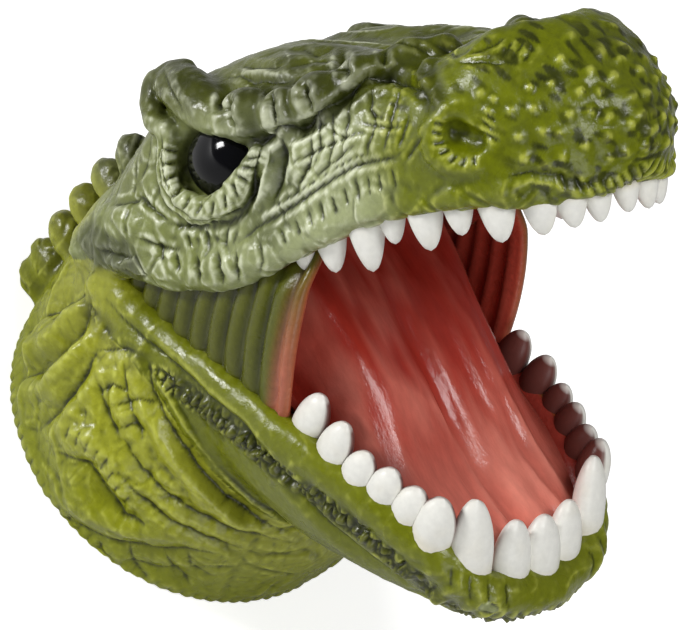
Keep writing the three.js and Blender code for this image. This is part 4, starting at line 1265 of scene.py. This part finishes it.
# Along the jaw: start of the back of the mouth, start of the tongue's own piece and its tip
TONGUE_ROOT = 12.0
TONGUE_SPLIT = 70.0
TONGUE_TIP = 116.0
TONGUE_COLUMNS = 70
TONGUE_HALF_MOST = 33.2
MOUTH_COLUMNS = 60
ROOF_RIB_PITCH = 7

# Tongue from the roof of the mouth to its tip: place and height in the jaw's frame, half width
tongue_at = smooth([
    [12, 31, 33], [22, 33.5, 33], [30, 32.5, 32], [38, 29.4, 30], [50, 26, 27.5], [60, 22.5, 25.5],
    [70, 18.4, 24], [81, 13, 22.5], [91, 9, 21], [101, 7.2, 18.5], [108, 6, 15], [113, 3.6, 10],
    [116, -0.5, 4],
])


def tongue_grid(x):
    """Tongue and back of the mouth, streaked along and falling off to the gums."""
    turn = np.linspace(-0.5 * math.pi, 0.5 * math.pi, x.shape[1])[None, :]
    height, half = tongue_at(x)
    jaw_half, lip, _ = jaw_section(x)
    gum = np.minimum(jaw_half - LIP_THICKNESS + GUM_OVERLAP, TONGUE_HALF_MOST) * ramp(x, 117, 111) ** 0.5
    shoulder = np.minimum(0.72 * half, 0.9 * gum)
    y = gum * np.sin(turn)
    flat = np.stack([x.ravel(), y.ravel(), 0 * x.ravel()], axis=1)
    streak = ridged(flat * (0.16, 1, 1), 5.0, seed=71).reshape(x.shape)
    fine = noise(flat * (0.2, 1, 1), 2.2, seed=73).reshape(x.shape)
    fall = ramp(np.abs(y), shoulder, gum + TINY)
    edge_height = np.maximum(lip - 2.4, 9 * ramp(x, 66, 40))
    z = height + 2.2 * (y / 20) ** 2
    z = z - 1.5 * np.exp(-((y / 4) ** 2)) * ramp(x, 40, 60) * ramp(x, 114, 100)
    z = z + (2.0 * (streak - 0.6) + 0.55 * fine) * (1 - fall)
    z = z + (edge_height - z) * fall
    # Painted highlight along the crests of the streaks and painted light on the front of the tongue
    crest = np.clip(0.8 * (streak - 0.55) + 0.35 * fine, 0, 1)
    tone = mix(MOUTH_RED, PALE_RED_HIGHLIGHT, (0.9 * crest + 0.55 * ramp(x, 66, 100)).ravel())
    # Painted shade where the tongue falls off to the gums and at the back of the mouth
    deep = np.maximum(0.8 * fall * ramp(x, 45, 70), 0.15 * ramp(x, 78, 34))
    return on_jaw(np.stack([x, y, z], axis=-1)).reshape(-1, 3), mix(tone, DEEP_RED_AND_SHADE, deep.ravel())


def trough(x):
    """Floor of the mouth: from the inside of one lip across to the other."""
    half, lip, _ = jaw_section(x)
    near, y = between_lips(half, x.shape[1])
    z = lip - VAULT + 0.7 + 9 * ramp(x, 84, 50) + (VAULT - 0.6) * near**6 * ramp(x, 50, 84)
    flat = np.stack([x.ravel(), y.ravel(), z.ravel()], axis=1)
    z = z + 0.3 * noise(flat, 3.0, seed=79).reshape(x.shape)
    tone = mix(DEEP_RED_AND_SHADE, GUM_RED, 0.5 + 0.5 * layered(flat, 6.0, seed=83))
    return on_jaw(np.stack([x, y, z], axis=-1)).reshape(-1, 3), tone


def roof(x):
    """Roof of the mouth, ribbed across and vaulted."""
    _, _, _, lip_half, lip, _ = skull_section(x)
    near, y = between_lips(lip_half, x.shape[1])
    z = lip + VAULT - 0.8 - (VAULT - 0.8) * near**5
    ribs = np.sin(2 * math.pi * (x + 0.12 * np.abs(y)) / ROOF_RIB_PITCH)
    z = z + 0.5 * ribs * (1 - near**3)
    # Painted light: the roof is lifted toward pale red, with a painted highlight on the rib crests
    tone = mix(MOUTH_RED, PALE_RED_HIGHLIGHT, (0.4 + 0.3 * ribs).ravel())
    return on_head(np.stack([x, y, z], axis=-1)).reshape(-1, 3), tone


lining = mouth_piece("mouth_back", tongue_grid, TONGUE_ROOT, TONGUE_SPLIT, 50, TONGUE_COLUMNS)
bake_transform(lining)
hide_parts("mouth_lining")
tongue = mouth_piece("tongue_front", tongue_grid, TONGUE_SPLIT, TONGUE_TIP, 44, TONGUE_COLUMNS)
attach(tongue, "jaw")
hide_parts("tongue")
floor_piece = mouth_piece("mouth_bed", trough, 26, 113, 50, MOUTH_COLUMNS)
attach(floor_piece, "jaw")
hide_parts("mouth_floor")
palate = mouth_piece("mouth_roof", roof, 26, 121, 90, MOUTH_COLUMNS, flipped=True)
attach(palate, "head")
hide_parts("palate")

# Cheek webs: pleated sheets between the lips
WEB_INSET = 2.6
WEB_WALL = 1.7
WEB_TUCK = 5.0
PLEAT_PITCH = 6.0
PLEAT_DEPTH = 1.6
WEB_SAG = 3.0
WEB_BULGE = 3.0
WEB_TOP_INSET = 3.5
WEB_ROLL = 1.4
WEB_EDGE_WALL = 3.0
WEB_STEPS = 60
WEB_EDGE_STEPS = 9
WEB_ROWS = 40
SIDES = ((-1, "right"), (1, "left"))


def web(sign):
    """One cheek web as a loop of outer face, rolled front edge and inner face, swept from lip to lip."""
    share = np.linspace(0, 1, WEB_STEPS)
    turn = np.linspace(0, math.pi, WEB_EDGE_STEPS)[1:-1]
    sweep = np.linspace(0, 1, WEB_ROWS)[:, None]
    bow = np.sin(math.pi * sweep)
    along = np.concatenate([share, np.ones_like(turn), share[::-1]])
    beyond = np.concatenate([0 * share, WEB_ROLL * np.sin(turn), 0 * share])
    depth = np.concatenate([0 * share, 0.5 * (1 - np.cos(turn)), np.ones_like(share)])
    wall = WEB_WALL + (WEB_EDGE_WALL - WEB_WALL) * along**6
    radius = WEB_INNER + along * (WEB_OUTER + WEB_REACH * sweep - WEB_INNER - WEB_SAG * bow) + beyond
    _, _, _, lip_half, lip, _ = skull_section(radius)
    jaw_half, jaw_lip, _ = jaw_section(radius)
    low = math.radians(JAW_PITCH) + np.arctan2(jaw_lip - WEB_TUCK, radius)
    high = math.radians(HEAD_PITCH) + np.arctan2(lip + WEB_TUCK, radius)
    angle = low + (high - low) * sweep
    half = jaw_half + (lip_half - jaw_half) * sweep
    phase = along * (WEB_OUTER - WEB_INNER) / PLEAT_PITCH + 0.25 * np.sin(3 * sweep)
    pleat = np.abs(np.sin(math.pi * phase)) ** 0.7
    inset = WEB_INSET + WEB_TOP_INSET * ramp(sweep, 0.72, 0.95) * ramp(radius, 52, 60)
    y = half - inset - depth * wall - PLEAT_DEPTH * (1 - pleat) * np.sqrt(bow) + WEB_BULGE * bow * along
    x = HINGE_X + radius * np.cos(angle)
    z = HINGE_Z + radius * np.sin(angle)
    places = np.stack([x, sign * y, z], axis=-1).reshape(-1, 3)
    green = (1 - depth) * np.ones_like(sweep)
    front = ramp(along, 0.9, 0.99) * np.ones_like(sweep)
    tone = mix(WEB_RED, WEB_GREEN, green.ravel())
    # Darker green on the outside, with painted shade in the pleat valleys
    tone = mix(tone, DARK_WASH_AND_SHADE, ((0.35 + 0.55 * (1 - pleat)) * green).ravel())
    # Painted shade in the pleat valleys on the inside
    tone = mix(tone, DEEP_RED_AND_SHADE, (0.8 * (1 - pleat) * (1 - green)).ravel())
    tone = mix(tone, WEB_EDGE, (0.85 * front * (0.2 + 0.8 * green) * ramp(sweep, 0.95, 0.3)).ravel())
    faces = grid_quads(WEB_ROWS, len(along), closed=True)
    return places, (faces if sign < 0 else faces[:, ::-1]), tone


for sign, name in SIDES:
    places, faces, tone = web(sign)
    sheet = surface_piece(f"cheek_sheet_{name}", places, faces, tone, skin_vinyl)
    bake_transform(sheet)
    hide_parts(f"cheek_web_{name}")

# Teeth
TOOTH_WHITE = shade(226, 225, 218)
TOOTH_BONE = shade(206, 192, 150)
INNER_TOOTH = shade(92, 34, 26)
TOOTH_ROOT = 3.0
TOOTH_RINGS = 14
TOOTH_SIDES = 20
# The lower teeth at the sides have their inner face in the dark red of the mouth
SIDE_TEETH = 6
INNER_SHARE = 0.97
# Upper: place along the skull, half across, height of the gum, length, half width
UPPER_TEETH = [
    (62.4, 32.2, 0.6, 6, 3.2), (70.6, 31.4, 3.2, 9, 4.2), (80.8, 30, 6.0, 12.2, 4.9),
    (88.2, 29.2, 7.0, 7.6, 3.7), (97, 27.8, 7.4, 10, 4.6), (105.1, 26, 6.8, 6.8, 3.6),
    (113.1, 22.8, 6.2, 8.6, 4.3), (120.6, 18, 4.8, 6.9, 3.9), (125.2, 13.4, 4.8, 6.4, 3.6),
    (127.2, 7.6, 4.8, 6.4, 3.6),
]
UPPER_MIDDLE = (128.4, 0, 4.6, 5.6, 3.4)
# Lower: place along the jaw, half across, height over the lip, length, half width
LOWER_TEETH = [
    (66.8, 32.6, 0.2, 9.8, 4.4), (75.8, 33, -1, 10, 4.4), (83.6, 32.2, -1.2, 7.8, 4.1),
    (90.1, 30.2, -1.2, 8.2, 4.3), (96.7, 28, -1.2, 8.4, 4.5), (103.5, 26, -0.4, 10, 4.9),
    (111.4, 19.2, -1.4, 14.2, 5.2), (115.4, 8.6, -2.2, 12, 5.0),
]
LOWER_MIDDLE = (116.6, 0, -2.2, 12, 5.4)
# How far back each lower tooth leans
LOWER_BACK = (0, 0, 0, 0, 0, 1.5, 5.8, 4.4)
MIDDLE_BACK = 4.6


def upper_outline(h):
    return (1 - 0.42 * h) * np.sqrt(np.maximum(1 - h**3.4, 0))


def lower_outline(h):
    return (1 + 0.06 * np.sin(math.pi * h**0.8)) * np.sqrt(np.maximum(1 - h**3.2, 0)) * (1 - 0.2 * h)


def tooth_piece(name, node_name, gum, heading, size, way, outline, to_frame, body, back=0, inner_paint=0.0):
    """A tooth on the gum: oval across, wide along the lip, rounded at the tip."""
    length, half = size
    share = np.concatenate([[-TOOTH_ROOT / length], np.linspace(0, 1, TOOTH_RINGS) ** 0.8])[:, None]
    turn = np.linspace(0, 2 * math.pi, TOOTH_SIDES, endpoint=False)[None, :]
    wide = half * outline(np.maximum(share, 0))
    deep = 0.78 * wide
    along = np.array([math.cos(heading), math.sin(heading), 0])
    out = np.array([math.sin(heading), -math.cos(heading), 0])
    a = (wide * np.cos(turn))[..., None] * along
    b = (deep * np.sin(turn))[..., None] * out
    rise = (share * np.ones_like(turn))[..., None] * np.array([-back, 0, way * length])
    local = np.array(gum) + a + b + rise
    places = to_frame(local).reshape(-1, 3)
    worn = noise(places, 3.0, seed=89)
    low = ramp(share, 0.25, -0.1) * np.ones_like(turn)
    tone = mix(TOOTH_WHITE, TOOTH_BONE, 0.35 * low.ravel() + 0.12 * worn)
    inside = ramp(-np.sin(turn), -0.35, 0.1) * ramp(share, 0.98, 0.9)
    tone = mix(tone, INNER_TOOTH, (inner_paint * inside).ravel())
    faces = grid_quads(TOOTH_RINGS + 1, TOOTH_SIDES, closed=True)
    faces = faces if way > 0 else faces[:, ::-1]
    piece = surface_piece(name, places, faces, tone, tooth_vinyl)
    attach(piece, body)
    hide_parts(node_name)


def upper_tooth(name, node_name, gum, heading, size):
    """An upper tooth, which points down from the skull."""
    tooth_piece(name, node_name, gum, heading, size, -1, upper_outline, on_head, "head")


def lower_tooth(name, node_name, gum, heading, size, back, inner_paint=0.0):
    """A lower tooth, whose gum is given over the lip."""
    x, y, rise = gum
    gum = (x, y, float(jaw_section(np.array(x))[1]) + rise)
    tooth_piece(name, node_name, gum, heading, size, 1, lower_outline, on_jaw, "jaw", back, inner_paint)


def heading_of(teeth, i, sign):
    """Direction of the lip at a tooth, from its neighbours on the right side, for the side of the sign."""
    row = [t[:2] for t in teeth] + [(teeth[-1][0] + 0.4, -teeth[-1][1])]
    before = row[max(i - 1, 0)]
    after = row[i + 1]
    heading = math.atan2(before[1] - after[1], after[0] - before[0])
    return heading if sign < 0 else math.pi - heading


# Heading of the middle teeth
AHEAD = 0.5 * math.pi
tooth_vinyl = painted("tooth_vinyl", 0.3, 0.44, speckle=0.04, grain=0.12)
for i, (x, half, z, *size) in enumerate(UPPER_TEETH):
    for sign, side in SIDES:
        ending = f"{side}_{i + 1:02d}"
        heading = heading_of(UPPER_TEETH, i, sign)
        upper_tooth(f"upper_fang_{ending}", f"upper_tooth_{ending}", (x, sign * half, z), heading, size)
for i, (x, half, rise, *size) in enumerate(LOWER_TEETH):
    for sign, side in SIDES:
        ending = f"{side}_{i + 1}"
        target = f"lower_tooth_{ending}"
        if i == len(LOWER_TEETH) - 1:
            target = "lower_tooth_front_1" if sign < 0 else "lower_tooth_front_3"
        lower_tooth(f"lower_fang_{ending}", target, (x, sign * half, rise), heading_of(LOWER_TEETH, i, sign),
                    size, LOWER_BACK[i], INNER_SHARE if i < SIDE_TEETH else 0.0)
gum, size = UPPER_MIDDLE[:3], UPPER_MIDDLE[3:]
upper_tooth("upper_fang_middle", "upper_tooth_front", gum, AHEAD, size)
gum, size = LOWER_MIDDLE[:3], LOWER_MIDDLE[3:]
lower_tooth("lower_fang_middle", "lower_tooth_front_2", gum, AHEAD, size, MIDDLE_BACK)

# Eyes
EYE_BLACK = shade(6, 6, 9)
EYE_RIM_REFLECTION = shade(46, 46, 58)
EYE_RINGS = 26
EYE_SIDES = 48
EYE_SPECULAR = 0.22


def eye_piece(sign, name):
    """A glossy eye whose middle bulges a little more than its rim."""
    rings = np.linspace(0.001, 0.5 * math.pi, EYE_RINGS)[:, None]
    turn = np.linspace(0, 2 * math.pi, EYE_SIDES, endpoint=False)[None, :]
    bulge = 1 + 0.1 * np.exp(-((rings / 0.55) ** 2))
    x = EYE_PLACE[0] + EYE_RADII[0] * np.sin(rings) * np.cos(turn)
    z = EYE_PLACE[2] + EYE_RADII[2] * np.sin(rings) * np.sin(turn)
    y = EYE_PLACE[1] - EYE_RADII[1] * np.cos(rings) * bulge * np.ones_like(turn)
    places = on_head(np.stack([x, -sign * y, z], axis=-1)).reshape(-1, 3)
    # Painted reflection: a pale grey ring round the rim of the black eye
    pale = ramp(rings, 1.25, 1.5) * np.ones_like(turn)
    tone = mix(EYE_BLACK, EYE_RIM_REFLECTION, pale.ravel())
    faces = grid_quads(EYE_RINGS, EYE_SIDES, closed=True)
    faces = faces if sign > 0 else faces[:, ::-1]
    piece = surface_piece(f"eyeball_{name}", places, faces, tone, eye_vinyl)
    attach(piece, "head")
    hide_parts(f"eye_{name}")


eye_vinyl = painted("eye_vinyl", 0.05, 0.09, speckle=0.1, grain=0.02)
eye_vinyl.node_tree.nodes["Principled BSDF"].inputs["Specular IOR Level"].default_value = EYE_SPECULAR
for sign, name in SIDES:
    eye_piece(sign, name)

# Camera, lamps, backdrop and floor, in metres and watts
SENSOR_WIDTH = 36.0
VIEW_END = 10.0
LAMP_AIM = (0, 0, 0.08)
WORLD_LIGHT = 0.15
FLOOR_HALF = 3
FLOOR_TONE = (0.85, 0.85, 0.85, 1)
FLOOR_GLOW = 0.72
WHITE = (1, 1, 1, 1)


def add_camera():
    """The camera that took the photograph."""
    data = bpy.data.cameras.new("camera")
    data.sensor_width = SENSOR_WIDTH
    data.lens = FOCAL_PIXELS / PHOTO_WIDTH * SENSOR_WIDTH
    data.clip_end = VIEW_END
    camera = add_object("camera", data)
    axes = np.stack([CAMERA_RIGHT, CAMERA_UP, -CAMERA_FORWARD, CAMERA_PLACE * MM], axis=1)
    camera.matrix_world = Matrix([*axes.tolist(), [0, 0, 0, 1]])
    bpy.context.scene.camera = camera


def add_lamp(name, place, size, power):
    """A square lamp that looks at the puppet."""
    data = bpy.data.lights.new(name, "AREA")
    data.size = size
    data.energy = power
    lamp = add_object(name, data)
    lamp.location = place
    lamp.rotation_euler = (Vector(LAMP_AIM) - Vector(place)).to_track_quat("-Z", "Y").to_euler()


def camera_ray(tree):
    """1 for rays that show the backdrop itself and 0 for rays that light things."""
    return node(tree, "ShaderNodeLightPath").outputs["Is Camera Ray"]


def set_world():
    """A white backdrop to the camera that lights the puppet only a little."""
    world = bpy.data.worlds.new("studio")
    bpy.context.scene.world = world
    world.use_nodes = True
    tree = world.node_tree
    background = tree.nodes["Background"]
    background.inputs["Color"].default_value = WHITE
    level = node(tree, "ShaderNodeMapRange")
    level.inputs["To Min"].default_value = WORLD_LIGHT
    level.inputs["To Max"].default_value = 1.0
    tree.links.new(camera_ray(tree), level.inputs["Value"])
    tree.links.new(level.outputs["Result"], background.inputs["Strength"])


def add_floor():
    """A white floor that keeps the object's shadow."""
    corners = FLOOR_HALF * np.array([(-1, -1, 0), (1, -1, 0), (1, 1, 0), (-1, 1, 0)], float)
    mesh = new_mesh("floor", corners, np.array([(0, 1, 2, 3)]))
    material, tree, shader = start_material("floor", 0.9)
    shader.inputs["Base Color"].default_value = FLOOR_TONE
    shader.inputs["Emission Color"].default_value = WHITE
    level = node(tree, "ShaderNodeMapRange")
    level.inputs["To Max"].default_value = FLOOR_GLOW
    tree.links.new(camera_ray(tree), level.inputs["Value"])
    tree.links.new(level.outputs["Result"], shader.inputs["Emission Strength"])
    mesh.materials.append(material)
    add_object("floor", mesh)


add_camera()
add_lamp("key", place=(-0.58, -0.62, 0.22), size=0.18, power=5.2)
add_lamp("top", place=(0.2, -0.1, 1.0), size=0.35, power=4.6)
add_lamp("fill", place=(0.75, -0.35, 0.45), size=0.5, power=2.2)
set_world()
add_floor()
bpy.context.scene.view_settings.view_transform = "Standard"
